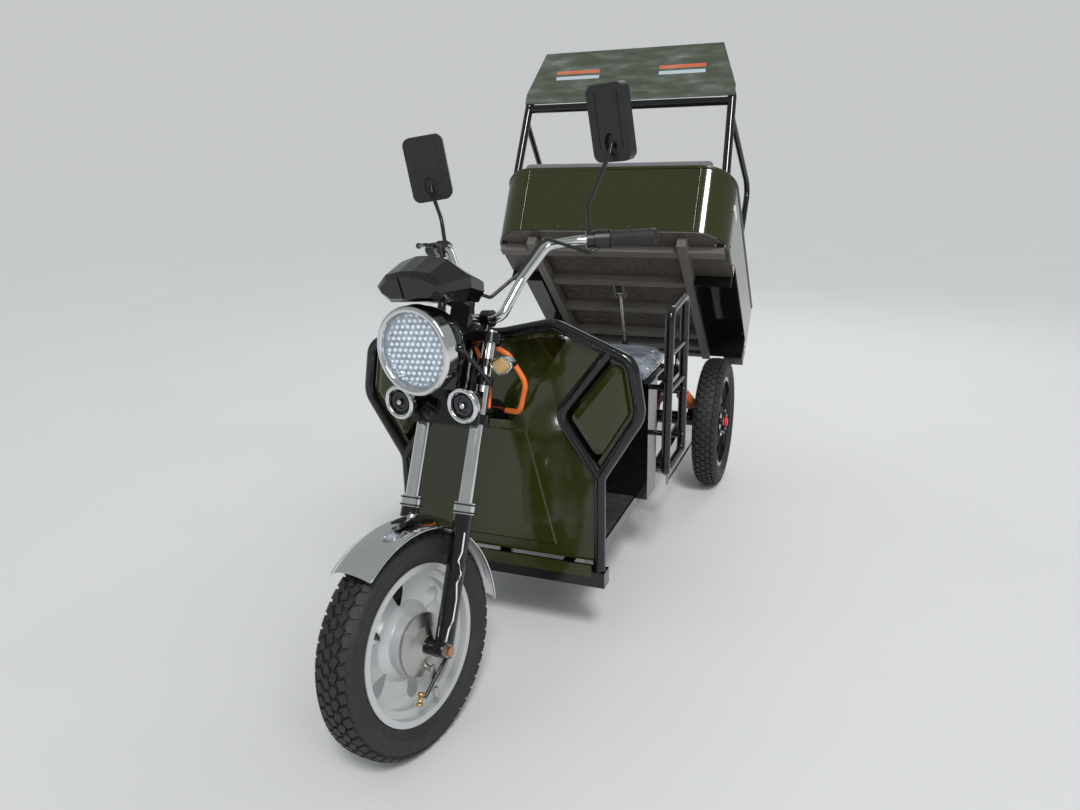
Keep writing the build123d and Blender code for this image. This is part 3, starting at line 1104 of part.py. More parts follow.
hoop_left = [*post_line, (HEADBOARD_TOP_HALF_WIDTH, *at(HEADBOARD_TOP_E1, HEADBOARD_HIGH))]
hoop_right = [(-x, y, z) for x, y, z in reversed(hoop_left)]
box_hoop = tube(hoop_left + hoop_right, POST_RADIUS, [60, 45, 45, 60])
cross_point = post_point(POST_TOP_HALF_WIDTH, HEADBOARD_LOW - 16)
box_hoop += rod_x(POST_RADIUS, -POST_TOP_HALF_WIDTH, POST_TOP_HALF_WIDTH, *cross_point[1:])
rail_start = post_point(POST_TOP_HALF_WIDTH + 2, SIDE_RAIL_E2)
rail_foot_x = BOX_HALF_WIDTH - RIM_LIP / 2 - 2
side_rail = tube(
    [rail_start, (rail_foot_x, *at(SIDE_RAIL_END_E1, SIDE_RAIL_E2)),
     (rail_foot_x, *at(SIDE_RAIL_END_E1 - 12, rim_top - 2))],
    SIDE_RAIL_RADIUS, 50,
)
box_hoop += side_rail + mirror(side_rail, about=Plane.YZ)
box_hoop -= box_block(-500, 500, 0, BOX_FRONT_TOP, 0, FLOOR_UNDER)
bead_top = bead_e2 + BEAD_TUBE_RADIUS
box_hoop -= box_block(-500, 500, 0, SIDE_RAIL_END_E1 + 30, 0, bead_top + SEAT_GAP)
keep("box_hoop", tipped(box_hoop))

board_low = Vector(*post_point(0, HEADBOARD_LOW))
board_high = Vector(0, *at(HEADBOARD_TOP_E1, HEADBOARD_HIGH))
board_up = (board_high - board_low).normalized()
board_normal = Vector(1, 0, 0).cross(board_up)
board_plane = Plane(origin=board_low + board_normal * (POST_RADIUS + SEAT_GAP), x_dir=(1, 0, 0),
                    z_dir=board_normal)
board_height = (board_high - board_low).length
board_half = [(366, -6), (366, 30), (312, board_height + 12)]
board_outline = board_half + [(-x, z) for x, z in reversed(board_half)]
headboard = extrude(board_plane * make_face(Polyline(*board_outline, close=True)), PANEL_THICKNESS)
keep("headboard", tipped(headboard))
pad_front = BOX_FRONT_TOP - BEAD_INSET - BEAD_TUBE_RADIUS - 1
pad = box_block(-328, 328, pad_front - 34, pad_front, rim_top + SEAT_GAP, rim_top + 44)
keep("wall_pad", tipped(fillet(pad.edges().filter_by(Axis.X), 10)))

lamp_outer = BOX_HALF_WIDTH - 1
lamp = box_block(lamp_outer - TAIL_LAMP_WIDTH, lamp_outer, BOX_REAR + 4, HOUSING_REAR - SEAT_GAP, TAIL_LAMP_LOW,
                 FLOOR_UNDER)
keep("tail_lamps", tipped(both(lamp)))
lens_face = BOX_REAR + 4 - SEAT_GAP
lens = box_block(lamp_outer - TAIL_LAMP_WIDTH + 4, lamp_outer - 4, lens_face - TAIL_LENS_THICKNESS, lens_face,
                 TAIL_LAMP_LOW + 4, FLOOR_UNDER - 8)
lens = fillet(lens.edges().filter_by(Axis.Y), 8)
keep("tail_lenses", tipped(both(lens)))

# Gas strut, drawn out as it is with the box up

lower_pin = Vector(0, STRUT_LOWER_Y, STRUT_LOWER_Z)
tip = math.radians(TIP_REST)
upper_pin = Vector(
    0,
    HINGE_Y - STRUT_UPPER_E1 * math.cos(tip) + STRUT_UPPER_E2 * math.sin(tip),
    HINGE_Z + STRUT_UPPER_E1 * math.sin(tip) + STRUT_UPPER_E2 * math.cos(tip),
)
strut_way = (upper_pin - lower_pin).normalized()
strut_length = (upper_pin - lower_pin).length


def strut_eye(pin):
    """The ring at one end of the strut."""
    return rod_x(11, -STRUT_EYE_HALF_WIDTH, STRUT_EYE_HALF_WIDTH, pin.Y, pin.Z)


def pin_hole(pin):
    """The room for the strut's pin."""
    return rod_x(STRUT_PIN_RADIUS + RUNNING_GAP, -30, 30, pin.Y, pin.Z)


barrel = tube([lower_pin, lower_pin + strut_way * BARREL_LENGTH], BARREL_RADIUS) + strut_eye(lower_pin)
rod_bore = tube([lower_pin + strut_way * 30, lower_pin + strut_way * (BARREL_LENGTH + 30)], ROD_RADIUS + RUNNING_GAP)
keep("strut_barrel", barrel - pin_hole(lower_pin) - rod_bore)
rod = tube([lower_pin + strut_way * (BARREL_LENGTH - 30), upper_pin], ROD_RADIUS) + strut_eye(upper_pin)
pin_reach = CLEVIS_INNER - SEAT_GAP
rod += rod_x(STRUT_PIN_RADIUS, -pin_reach, pin_reach, upper_pin.Y, upper_pin.Z)
keep("strut_rod", rod)

print("strut length with the box up", round(strut_length, 1))
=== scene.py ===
"""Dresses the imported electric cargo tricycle: finishes, tyres, lamps, seat, springs and trim."""
import logging
import math
from dataclasses import dataclass
from enum import Enum
from typing import Any, Iterable, Sequence

import bmesh
import bpy
from mathutils import Matrix, Vector


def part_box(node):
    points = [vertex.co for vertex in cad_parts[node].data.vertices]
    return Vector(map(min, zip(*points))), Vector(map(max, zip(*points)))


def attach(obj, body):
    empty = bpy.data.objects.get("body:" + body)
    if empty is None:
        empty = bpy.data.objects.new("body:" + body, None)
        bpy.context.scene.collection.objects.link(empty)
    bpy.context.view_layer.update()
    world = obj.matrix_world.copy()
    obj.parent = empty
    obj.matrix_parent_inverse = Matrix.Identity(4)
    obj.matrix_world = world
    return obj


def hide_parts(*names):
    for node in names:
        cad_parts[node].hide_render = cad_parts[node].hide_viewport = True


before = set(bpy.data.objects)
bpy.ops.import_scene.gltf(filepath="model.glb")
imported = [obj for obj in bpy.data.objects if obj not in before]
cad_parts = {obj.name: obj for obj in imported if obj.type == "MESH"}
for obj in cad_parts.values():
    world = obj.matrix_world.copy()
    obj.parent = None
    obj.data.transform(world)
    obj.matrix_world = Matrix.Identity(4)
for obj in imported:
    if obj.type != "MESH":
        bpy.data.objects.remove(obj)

log = logging.getLogger("tricycle")
MM = 0.001
Colour = tuple[float, float, float]
Point = tuple[float, float, float]
Pair = tuple[float, float]
SIDES = (("left", 1), ("right", -1))


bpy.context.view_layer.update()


# Places on the vehicle, from the same sizes as the solids


HINGE = Vector((0.0, 890.0, 440.0)) * MM
TIP_REST = math.radians(42.0)
RAKE = math.radians(26.0)
STEER_REST = math.radians(11.0)
STEER_AXIS = Vector((0.0, math.sin(RAKE), math.cos(RAKE)))
STEER_BACK = Vector((0.0, math.cos(RAKE), -math.sin(RAKE)))
WHEEL_CENTRE = Vector((0.0, -925.0, 235.0)) * MM
STEER_BASE = WHEEL_CENTRE + STEER_BACK * 58.0 * MM
TO_METRES = Matrix.Scale(MM, 4)


def moved(x: float, y: float, z: float) -> Matrix:
    """A shift by x, y and z in mm."""
    return Matrix.Translation(Vector((x, y, z)) * MM)


def turned(degrees: float, axis: Any) -> Matrix:
    """A turn by some degrees about an axis through the origin."""
    return Matrix.Rotation(math.radians(degrees), 4, axis)


def unscaled(place: Matrix) -> Matrix:
    """The same place and turn without a change of size."""
    spot, turn, _ = place.decompose()
    return Matrix.Translation(spot) @ turn.to_matrix().to_4x4()


def aim(start: Vector, end: Vector) -> Matrix:
    """A frame at start whose Z points to end."""
    return Matrix.Translation(start) @ (end - start).to_track_quat("Z", "Y").to_matrix().to_4x4()


def steered() -> Matrix:
    """The turn of the whole steering from straight ahead to where it is left."""
    turn = Matrix.Rotation(-STEER_REST, 4, STEER_AXIS)
    return Matrix.Translation(STEER_BASE) @ turn @ Matrix.Translation(-STEER_BASE)


def fork_frame() -> Matrix:
    """From the fork's own millimetres (x, back, up) to metres in the vehicle's frame."""
    basis = Matrix((Vector((1, 0, 0)), STEER_BACK, STEER_AXIS)).transposed().to_4x4()
    return steered() @ Matrix.Translation(STEER_BASE) @ basis @ TO_METRES


def fork_spot(x: float, y: float, u: float) -> Matrix:
    """A shift in metres to a point of the fork in mm, along the vehicle's own axes."""
    place = STEER_BASE + (Vector((x, 0.0, 0.0)) + STEER_BACK * y + STEER_AXIS * u) * MM
    return steered() @ Matrix.Translation(place)


def lamp_frame(x: float, y: float, u: float) -> Matrix:
    """A frame in metres at a lamp of the fork, with Z level and forward."""
    return fork_spot(x, y, u) @ turned(90, "X")


def bed_frame() -> Matrix:
    """Where the tipped load box lies.

    Returns:
        The way from its millimetres (x, forward, up from the hinge) to metres.
    """
    c = math.cos(TIP_REST)
    s = math.sin(TIP_REST)
    basis = Matrix(((1, 0, 0), (0, -c, s), (0, s, c))).to_4x4()
    return Matrix.Translation(HINGE) @ basis @ TO_METRES


def bed_places(points: Iterable[Point], normal: Point) -> list[Matrix]:
    """Frames on the load box.

    Args:
        points: Their places in the box's own mm.
        normal: Where each one's Z points, in the box's own axes.

    Returns:
        One frame in metres for each point.
    """
    way = Vector(normal)
    return [unscaled(bed_frame() @ aim(Vector(point), Vector(point) + way)) for point in points]


# Shader building


class Signal:
    """A shader socket that can be used in sums."""

    def __init__(self, board: "Board", socket: Any) -> None:
        """Keeps the socket and the board that it lives on."""
        self.board = board
        self.socket = socket

    def _with(self, operation: str, *values: Any) -> "Signal":
        """Adds one Math node on these values."""
        return self.board.node("ShaderNodeMath", {"operation": operation}, dict(enumerate(values)), 0)

    def __add__(self, other: Any) -> "Signal":
        """The sum of this and another value."""
        return self._with("ADD", self, other)

    def __radd__(self, other: float) -> "Signal":
        """The sum of a number and this."""
        return self._with("ADD", other, self)

    def __sub__(self, other: Any) -> "Signal":
        """This less another value."""
        return self._with("SUBTRACT", self, other)

    def __rsub__(self, other: float) -> "Signal":
        """A number less this."""
        return self._with("SUBTRACT", other, self)

    def __mul__(self, other: Any) -> "Signal":
        """This times another value."""
        return self._with("MULTIPLY", self, other)

    def __rmul__(self, other: float) -> "Signal":
        """A number times this."""
        return self._with("MULTIPLY", other, self)

    def power(self, exponent: float) -> "Signal":
        """This raised to a power."""
        return self._with("POWER", self, exponent)

    def between(self, low: float, high: float) -> "Signal":
        """1 where this lies between two edges, else 0."""
        return self._with("GREATER_THAN", self, low) * self._with("LESS_THAN", self, high)

    def size(self) -> "Signal":
        """The value without its sign."""
        return self._with("ABSOLUTE", self)

    def wave(self) -> "Signal":
        """The sine of this."""
        return self._with("SINE", self)

    def spread(self, low: float, high: float) -> "Signal":
        """A 0 to 1 value spread between two numbers."""
        return self * (high - low) + low


class Board:
    """The node tree of one material."""

    def __init__(self, name: str) -> None:
        """Makes an empty material with a surface shader and object coordinates.

        Args:
            name: The material's name.
        """
        self.material = bpy.data.materials.new(name)
        self.material.use_nodes = True
        self.tree = self.material.node_tree
        self.tree.nodes.clear()
        output = self.tree.nodes.new("ShaderNodeOutputMaterial")
        self.surface = self.tree.nodes.new("ShaderNodeBsdfPrincipled")
        self.tree.links.new(self.surface.outputs[0], output.inputs["Surface"])
        self.place = self.node("ShaderNodeTexCoord", {}, {}, "Object")

    def node(self, kind: str, settings: dict[str, Any], inputs: dict[Any, Any], result: Any) -> Signal:
        """Puts one node on the board.

        Args:
            kind: The node's type name.
            settings: Attributes to set first, such as an operation.
            inputs: Values or signals for its sockets, by name or number.
            result: The output that is wanted, by name or number.

        Returns:
            The signal of that output.
        """
        node = self.tree.nodes.new(kind)
        for key, value in settings.items():
            setattr(node, key, value)
        for key, value in inputs.items():
            self.feed(node.inputs[key], value)
        return Signal(self, node.outputs[result])

    def feed(self, socket: Any, value: Any) -> None:
        """Gives a socket its input.

        Args:
            socket: The socket of a node on this board.
            value: A signal to link, or a plain value to set.
        """
        if isinstance(value, Signal):
            self.tree.links.new(value.socket, socket)
        elif isinstance(value, tuple) and len(value) == 3 and socket.type == "RGBA":
            socket.default_value = (*value, 1.0)
        else:
            socket.default_value = value

    def set(self, **values: Any) -> None:
        """Sets or links inputs of the surface shader, with _ for a blank in the name."""
        for name, value in values.items():
            self.feed(self.surface.inputs[name.replace("_", " ")], value)

    def noise(self, scale: float, detail: float = 3.0, stretch: Point = (1, 1, 1)) -> Signal:
        """A soft random value in object space.

        Args:
            scale: How many cells to a metre.
            detail: How many finer layers are added.
            stretch: Scale of each axis first.

        Returns:
            The value from 0 to 1.
        """
        place = self.node("ShaderNodeMapping", {}, {"Vector": self.place, "Scale": stretch}, 0)
        return self.node("ShaderNodeTexNoise", {}, {"Vector": place, "Scale": scale, "Detail": detail}, "Fac")

    def cells(self, scale: float) -> Signal:
        """Distance to the nearest of scattered points in object space."""
        return self.node("ShaderNodeTexVoronoi", {}, {"Vector": self.place, "Scale": scale}, "Distance")

    def axis(self, index: int) -> Signal:
        """One object coordinate in metres."""
        return self.node("ShaderNodeSeparateXYZ", {}, {0: self.place}, index)

    def tint(self, mask: Signal, low: Any, high: Any) -> Signal:
        """A colour between two by a mask.

        Args:
            mask: 0 gives the low colour, 1 the high one.
            low: The first colour, or a signal.
            high: The second colour, or a signal.

        Returns:
            The mixed colour.
        """
        settings = {"data_type": "RGBA", "blend_type": "MIX", "clamp_factor": True}
        return self.node("ShaderNodeMix", settings, {0: mask, 6: low, 7: high}, 2)

    def bump(self, height: Signal, depth: float, strength: float) -> None:
        """Lets a height signal shape the surface's shading.

        Args:
            height: The signal, from 0 to 1.
            depth: How far 1 stands out, in metres.
            strength: How much of it is used.
        """
        inputs = {"Height": height, "Distance": depth, "Strength": strength}
        self.set(Normal=self.node("ShaderNodeBump", {}, inputs, 0))


# Finishes


def shaded(colour: Colour, factor: float) -> Colour:
    """A colour times a factor, and at most white."""
    return tuple(min(1.0, channel * factor) for channel in colour)


@dataclass(frozen=True)
class Finish:
    """A named surface with the colour and polish that its kind shares."""

    name: str
    colour: Colour
    roughness: float = 0.4
    metallic: float = 0.0
    coat: float = 0.0
    coat_roughness: float = 0.05
    grime: float = 0.25
    specular: float = 0.5

    def dress(self, board: Board) -> None:
        """Left to each kind of finish, which adds what changes over the surface."""
        raise NotImplementedError

    def rough(self, board: Board, value: Signal, smooth: float, worn: float) -> None:
        """Lets the polish change over the surface.

        Args:
            board: The board of this finish.
            value: The signal that it follows, from 0 to 1.
            smooth: Factor on the finish's roughness where the signal is 0.
            worn: Factor where it is 1.
        """
        board.set(Roughness=value.spread(self.roughness * smooth, min(1.0, self.roughness * worn)))

    def make(self) -> bpy.types.Material:
        """Makes the material once, and then finds it by its name.

        Returns:
            The finished material.
        """
        title = f"{self.name}_finish"
        known = bpy.data.materials.get(title)
        if known is not None:
            return known
        board = Board(title)
        board.set(Metallic=self.metallic, Coat_Weight=self.coat, Coat_Roughness=self.coat_roughness)
        board.set(Specular_IOR_Level=self.specular)
        self.dress(board)
        return board.material


@dataclass(frozen=True)
class Lacquer(Finish):
    """Glossy sprayed paint with orange peel under a clear coat."""

    coat: float = 0.55
    peel: float = 0.0004
    specular: float = 0.3
    dust: Colour = (0.35, 0.33, 0.28)

    def dress(self, board: Board) -> None:
        """Adds a slow drift of tone, sparse dust and orange peel.

        Args:
            board: The board of this finish.
        """
        drift = board.noise(3.0, 2.0)
        dust = board.noise(70.0, 8.0).power(3.0) * self.grime
        paint = board.tint(drift, shaded(self.colour, 0.8), self.colour)
        board.set(Base_Color=board.tint(dust, paint, self.dust))
        self.rough(board, board.noise(24.0, 4.0), 0.8, 1.3)
        board.bump(board.noise(180.0, 2.0), self.peel, 0.12)


@dataclass(frozen=True)
class Plating(Finish):
    """Bright chrome or bare steel with fine brushing."""

    metallic: float = 1.0

    def dress(self, board: Board) -> None:
        """Adds faint stains and a fine drawn grain.

        Args:
            board: The board of this finish.
        """
        board.set(Base_Color=board.tint(board.noise(14.0, 5.0), self.colour, shaded(self.colour, 0.8)))
        self.rough(board, board.noise(60.0, 5.0), 0.6, 1.5)
        board.bump(board.noise(420.0, 2.0), 0.0001, 0.12)


@dataclass(frozen=True)
class Moulding(Finish):
    """Moulded plastic or rubber with a fine leathery grain."""

    grain: float = 900.0
    grain_depth: float = 0.0003
    dust: Colour = (0.3, 0.28, 0.25)

    def dress(self, board: Board) -> None:
        """Adds grain, scuffs and pale dust.

        Args:
            board: The board of this finish.
        """
        drift = board.noise(12.0, 4.0)
        dust = board.noise(30.0, 7.0).power(2.0) * self.grime
        worn = tuple(channel * 1.5 + 0.002 for channel in self.colour)
        board.set(Base_Color=board.tint(dust, board.tint(drift, self.colour, worn), self.dust))
        self.rough(board, drift, 0.85, 1.2)
        board.bump(board.cells(self.grain), self.grain_depth, 0.35)


@dataclass(frozen=True)
class Woven(Finish):
    """Woven or padded cloth, with its threads' wave in radians to a metre."""

    threads: float = 5652.0

    def dress(self, board: Board) -> None:
        """Adds crossing threads and soft creases.

        Args:
            board: The board of this finish.
        """
        weave = (board.axis(0) * self.threads).wave() * (board.axis(1) * self.threads).wave()
        crease = board.noise(16.0, 4.0)
        board.set(Base_Color=board.tint(crease, self.colour, shaded(self.colour, 1.4)), Roughness=self.roughness)
        board.bump(weave * 0.3 + crease, 0.002, 0.4)


@dataclass(frozen=True)
class Filmed(Finish):
    """A dark surface still under its clear wrapping film."""

    coat: float = 1.0
    wrinkle: float = 26.0
    # Colour of the painted sheen that stands in for the film's reflections.
    painted_sheen: Colour = (0.55, 0.62, 0.72)

    def dress(self, board: Board) -> None:
        """Adds long pulled wrinkles and a painted sheen along them, a pale bluish colour in place of the film's
        reflections.

        Args:
            board: The board of this finish.
        """
        fold = board.noise(self.wrinkle, 5.0, (0.35, 1.0, 1.6))
        # Painted sheen: the base colour turns pale bluish along the wrinkles in place of the film's reflections.
        board.set(Base_Color=board.tint(fold.power(1.5) * 1.1, self.colour, self.painted_sheen))
        self.rough(board, fold, 0.6, 1.6)
        board.bump(fold, 0.006, 0.5)


@dataclass(frozen=True)
class Striped(Filmed):
    """The headboard's paint with two short stripes each side, under its wrapping film."""

    # Colour of the painted highlights along the headboard film's wrinkles.
    painted_sheen: Colour = (0.6, 0.66, 0.64)
    across: Pair = (0.105, 0.262)
    warm_band: Pair = (0.652, 0.664)
    warm: Colour = (0.62, 0.12, 0.03)
    cool_band: Pair = (0.632, 0.644)
    cool: Colour = (0.5, 0.58, 0.62)

    def dress(self, board: Board) -> None:
        """Lays the stripes by height on the tipped board and adds the film's wrinkles with painted highlights along
        them.

        Args:
            board: The board of this finish.
        """
        rise = (board.axis(1) - HINGE.y) * math.sin(TIP_REST)
        height = rise + (board.axis(2) - HINGE.z) * math.cos(TIP_REST)
        across = board.axis(0).size().between(*self.across)
        paint = board.tint(height.between(*self.warm_band) * across, self.colour, self.warm)
        paint = board.tint(height.between(*self.cool_band) * across, paint, self.cool)
        fold = board.noise(self.wrinkle, 6.0, (0.4, 1.0, 1.8))
        # Painted highlights: the paint turns pale along the wrinkles in place of the film's reflections.
        board.set(Base_Color=board.tint(fold.power(4.0) * 0.9, paint, self.painted_sheen))
        self.rough(board, fold, 0.6, 1.6)
        board.bump(fold, 0.008, 0.6)


@dataclass(frozen=True)
class Glow(Finish):
    """A lamp face that shines."""

    strength: float = 1.0

    def dress(self, board: Board) -> None:
        """Adds a faint drift of tone and its light."""
        tone = board.tint(board.noise(30.0), self.colour, shaded(self.colour, 0.8))
        board.set(Base_Color=tone, Roughness=self.roughness, Emission_Color=tone, Emission_Strength=self.strength)


@dataclass(frozen=True)
class Glassy(Finish):
    """Thin clear or tinted plastic that shows what lies behind."""

    opacity: float = 0.3

    def dress(self, board: Board) -> None:
        """Adds faint fluting and sets how much shows through.

        Args:
            board: The board of this finish.
        """
        tone = board.tint(board.noise(20.0), self.colour, shaded(self.colour, 1.1))
        board.set(Base_Color=tone, Alpha=self.opacity, Roughness=self.roughness)
        board.bump((board.axis(0) * 900.0).wave(), 0.0006, 0.3)


@dataclass(frozen=True)
class Faceted(Finish):
    """The bluish mirrored cells behind the headlight's lens."""

    cell: float = 82.0
    # Colour of the painted shade at the cells' rims.
    dark: Colour = (0.16, 0.2, 0.26)

    def dress(self, board: Board) -> None:
        """Adds painted light and shade in each cell, bright at its centre and dark at its rim, with bevelled shading.

        Args:
            board: The board of this finish.
        """
        comb = board.cells(self.cell)
        # Painted reflection and shade: each cell is bright at its centre and dark towards its rim.
        board.set(Base_Color=board.tint(comb * 1.5, self.colour, self.dark), Roughness=self.roughness)
        board.bump(comb, 0.01, 0.9)


OLIVE = Lacquer("olive_paint", (0.026, 0.032, 0.004), 0.12, grime=0.05)
BLACK = Lacquer("black_paint", (0.004, 0.004, 0.005), 0.12, grime=0.04)
UNDERSIDE = Moulding("underside_paint", (0.06, 0.048, 0.04), 0.35)
RIB_GREY = Moulding("rib_paint", (0.12, 0.108, 0.095), 0.36)
BLACK_PLASTIC = Moulding("black_plastic", (0.008, 0.008, 0.009), 0.3, grime=0.05)
GLOSS_BLACK = Lacquer("gloss_black", (0.006, 0.006, 0.008), 0.1, grime=0.03)
CHROME = Plating("chrome", (0.82, 0.82, 0.84), 0.09)
STEEL = Plating("bare_steel", (0.55, 0.54, 0.52), 0.28)
BRASS = Plating("brass", (0.72, 0.5, 0.2), 0.25)
COPPER = Plating("copper_nut", (0.62, 0.33, 0.18), 0.3)
SILVER = Lacquer("silver_rim", (0.66, 0.67, 0.68), 0.32, metallic=0.45, coat=0.3, grime=0.1)
RUBBER = Moulding("black_rubber", (0.01, 0.01, 0.011), 0.55, grain=500.0, grime=0.05)
TYRE = Moulding("tyre_rubber", (0.011, 0.011, 0.012), 0.6, grain=300.0, grime=0.08)
MIRROR = Plating("mirror_face", (0.85, 0.87, 0.88), 0.02)
CLEAR = Glassy("clear_lens", (0.82, 0.88, 0.92), 0.04, opacity=0.16)
LED_WHITE = Glow("led_white", (0.8, 0.9, 1.0), 0.25, strength=0.3)
CELLS = Faceted("lamp_cells", (0.5, 0.62, 0.74), 0.14, metallic=0.8)
DARK_GLASS = Glassy("display_glass", (0.02, 0.022, 0.026), 0.05, opacity=1.0)
HEADBOARD = Striped("headboard_film", (0.05, 0.06, 0.035), 0.2)
LEAD = Moulding("orange_lead", (0.75, 0.16, 0.02), 0.35, grime=0.05)
DECAL = Moulding("pale_decal", (0.6, 0.6, 0.56), 0.3, grime=0.05)
PALE = Moulding("pale_reflector", (0.72, 0.74, 0.72), 0.15, grime=0.05)
RED_CAP = Moulding("red_cap", (0.6, 0.02, 0.015), 0.3, grime=0.05)
AMBER_LENS = Moulding("amber_lens", (0.46, 0.3, 0.13), 0.15, coat=0.8, grime=0.0)
RED_LENS = Moulding("red_lens", (0.45, 0.015, 0.012), 0.12, coat=0.9, grime=0.0)
SEAT_FILM = Filmed("seat_vinyl", (0.03, 0.033, 0.04), 0.2)
PAD_CLOTH = Woven("pad_cloth", (0.16, 0.16, 0.17), 0.8)
ORANGE = Lacquer("orange_spring", (0.8, 0.16, 0.02), 0.22)
BATTERY = Moulding("battery_case", (0.03, 0.035, 0.045), 0.5)
MAT = Moulding("foot_mat_rubber", (0.02, 0.02, 0.021), 0.6, grain=140.0, grain_depth=0.002)

FINISHED_NODES: tuple[tuple[Finish, str], ...] = (
    (OLIVE, "box_walls shield_cover shield_panels tailgate"),
    (BLACK, "battery_box box_hoop footboard fork_sliders fork_yokes frame lamp_brackets rear_axle rear_rim_left "
            "rear_rim_right seat_pan shield_hoop shock_absorbers side_guards strut_barrel trailing_arms "
            "wheel_housings"),
    (BLACK_PLASTIC, "bar_cables mirrors switchgear tail_lamps"),
    (GLOSS_BLACK, "headlight_shell instrument_cowl turn_signals"),
    (CHROME, "fork_tubes front_fender handlebar headlight_bezel round_lamps"),
    (STEEL, "brake_rods front_axle strut_rod"),
    (SILVER, "front_rim"),
    (TYRE, "front_tyre rear_tyre_left rear_tyre_right"),
    (RUBBER, "grips"),
    (MIRROR, "mirror_glass"),
    (CLEAR, "headlight_lens"),
    (DARK_GLASS, "round_lenses"),
    (AMBER_LENS, "turn_lenses"),
    (RED_LENS, "tail_lenses"),
    (HEADBOARD, "headboard"),
    (UNDERSIDE, "box_floor"),
    (RIB_GREY, "box_ribs"),
    (LEAD, "neck_leads"),
    (ORANGE, "shock_springs"),
    (SEAT_FILM, "seat_cushion"),
    (PAD_CLOTH, "wall_pad"),
    (BATTERY, "battery"),
    (MAT, "foot_mat"),
)
NODE_FINISHES = {node: finish for finish, nodes in FINISHED_NODES for node in nodes.split()}


# Mesh making


def linked(name: str, data: Any) -> bpy.types.Object:
    """Makes an object and puts it in the scene.

    Args:
        name: The object's name.
        data: Its mesh, curve, lamp or camera.

    Returns:
        The new object.
    """
    made = bpy.data.objects.new(name, data)
    bpy.context.scene.collection.objects.link(made)
    return made


def worked_out(source: bpy.types.Object) -> bpy.types.Mesh:
    """The plain mesh that an object gives with its modifiers."""
    bpy.context.view_layer.update()
    return bpy.data.meshes.new_from_object(source.evaluated_get(bpy.context.evaluated_depsgraph_get()))


def mesh_of(shape: bmesh.types.BMesh, name: str) -> bpy.types.Mesh:
    """Turns a shape into a mesh.

    Args:
        shape: The shape, which is used up.
        name: The mesh's name.

    Returns:
        The new mesh.
    """
    mesh = bpy.data.meshes.new(name)
    shape.to_mesh(mesh)
    shape.free()
    return mesh


def shape_of(mesh: bpy.types.Mesh) -> bmesh.types.BMesh:
    """Turns a mesh into a shape.

    Args:
        mesh: The mesh, which is used up.

    Returns:
        The new shape.
    """
    shape = bmesh.new()
    shape.from_mesh(mesh)
    bpy.data.meshes.remove(mesh)
    return shape


class Maker:
    """Turns plain geometry into finished pieces."""

    @staticmethod
    def piece(
        name: str, shape: bmesh.types.BMesh, finish: Finish, body: str, smooth: bool = True
    ) -> bpy.types.Object:
        """Makes a riding object of a shape.

        Args:
            name: The piece's name.
            shape: Its geometry in metres, which is used up.
            finish: What it is dressed with.
            body: The body that it rides on.
            smooth: Whether its faces are shaded smooth.

        Returns:
            The new object, at the origin.
        """
        bmesh.ops.recalc_face_normals(shape, faces=shape.faces)
        mesh = mesh_of(shape, name)
        for polygon in mesh.polygons:
            polygon.use_smooth = smooth
        piece = linked(name, mesh)
        mesh.materials.append(finish.make())
        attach(piece, body)
        log.info("%s on %s: %d faces", name, body, len(mesh.polygons))
        return piece

    @staticmethod
    def join(shapes: Iterable[bmesh.types.BMesh]) -> bmesh.types.BMesh:
        """Puts several shapes into one.

        Args:
            shapes: The shapes, which are used up.

        Returns:
            The joined shape.
        """
        joined = bmesh.new()
        for shape in shapes:
            mesh = mesh_of(shape, "part")
            joined.from_mesh(mesh)
            bpy.data.meshes.remove(mesh)
        return joined

    @staticmethod
    def lathe(profile: Sequence[Pair], place: Matrix, steps: int) -> bmesh.types.BMesh:
        """Turns a closed profile about Z.

        Args:
            profile: Radius and height pairs round the section.
            place: Where the turned shape goes.
            steps: How many sides the circle has.

        Returns:
            The closed solid.
        """
        shape = bmesh.new()
        angles = [math.tau * step / steps for step in range(steps)]
        rings = []
        for radius, height in profile:
            spots = [(radius * math.cos(angle), radius * math.sin(angle), height) for angle in angles]
            on_axis = radius < 1e-6
            rings.append([shape.verts.new(place @ Vector(spot)) for spot in (spots[:1] if on_axis else spots)])
        for low, high in zip(rings, rings[1:] + rings[:1]):
            for step in range(steps):
                around = [low[step % len(low)], low[(step + 1) % len(low)],
                          high[(step + 1) % len(high)], high[step % len(high)]]
                face = list(dict.fromkeys(around))
                if len(face) > 2:
                    shape.faces.new(face)
        return shape

    @staticmethod
    def bar(points: Sequence[Point], radius: float, place: Matrix, sides: int) -> bmesh.types.BMesh:
        """A round bar along a smooth line.

        Args:
            points: Control points of the line.
            radius: The bar's radius, in the points' units.
            place: Where the bar goes.
            sides: How many sides the section has.

        Returns:
            The closed bar.
        """
        curve = bpy.data.curves.new("line", "CURVE")
        curve.dimensions = "3D"
        spline = curve.splines.new("NURBS")
        spline.points.add(len(points) - 1)
        for control, point in zip(spline.points, points):
            control.co = (*point, 1.0)
        spline.order_u = 3
        spline.use_endpoint_u = True
        spline.resolution_u = 6
        curve.bevel_depth = radius
        curve.bevel_resolution = max(1, sides // 4)
        curve.use_fill_caps = True
        holder = linked("line", curve)
        shape = shape_of(worked_out(holder))
        bpy.data.objects.remove(holder)
        bpy.data.curves.remove(curve)
        bmesh.ops.remove_doubles(shape, verts=shape.verts, dist=radius * 1e-3)
        shape.transform(place)
        return shape


class Form(Enum):
    """The small solids that are strewn over points."""

    BLOCK = "GeometryNodeMeshCube"
    DISC = "GeometryNodeMeshCylinder"
    DOME = "GeometryNodeMeshUVSphere"


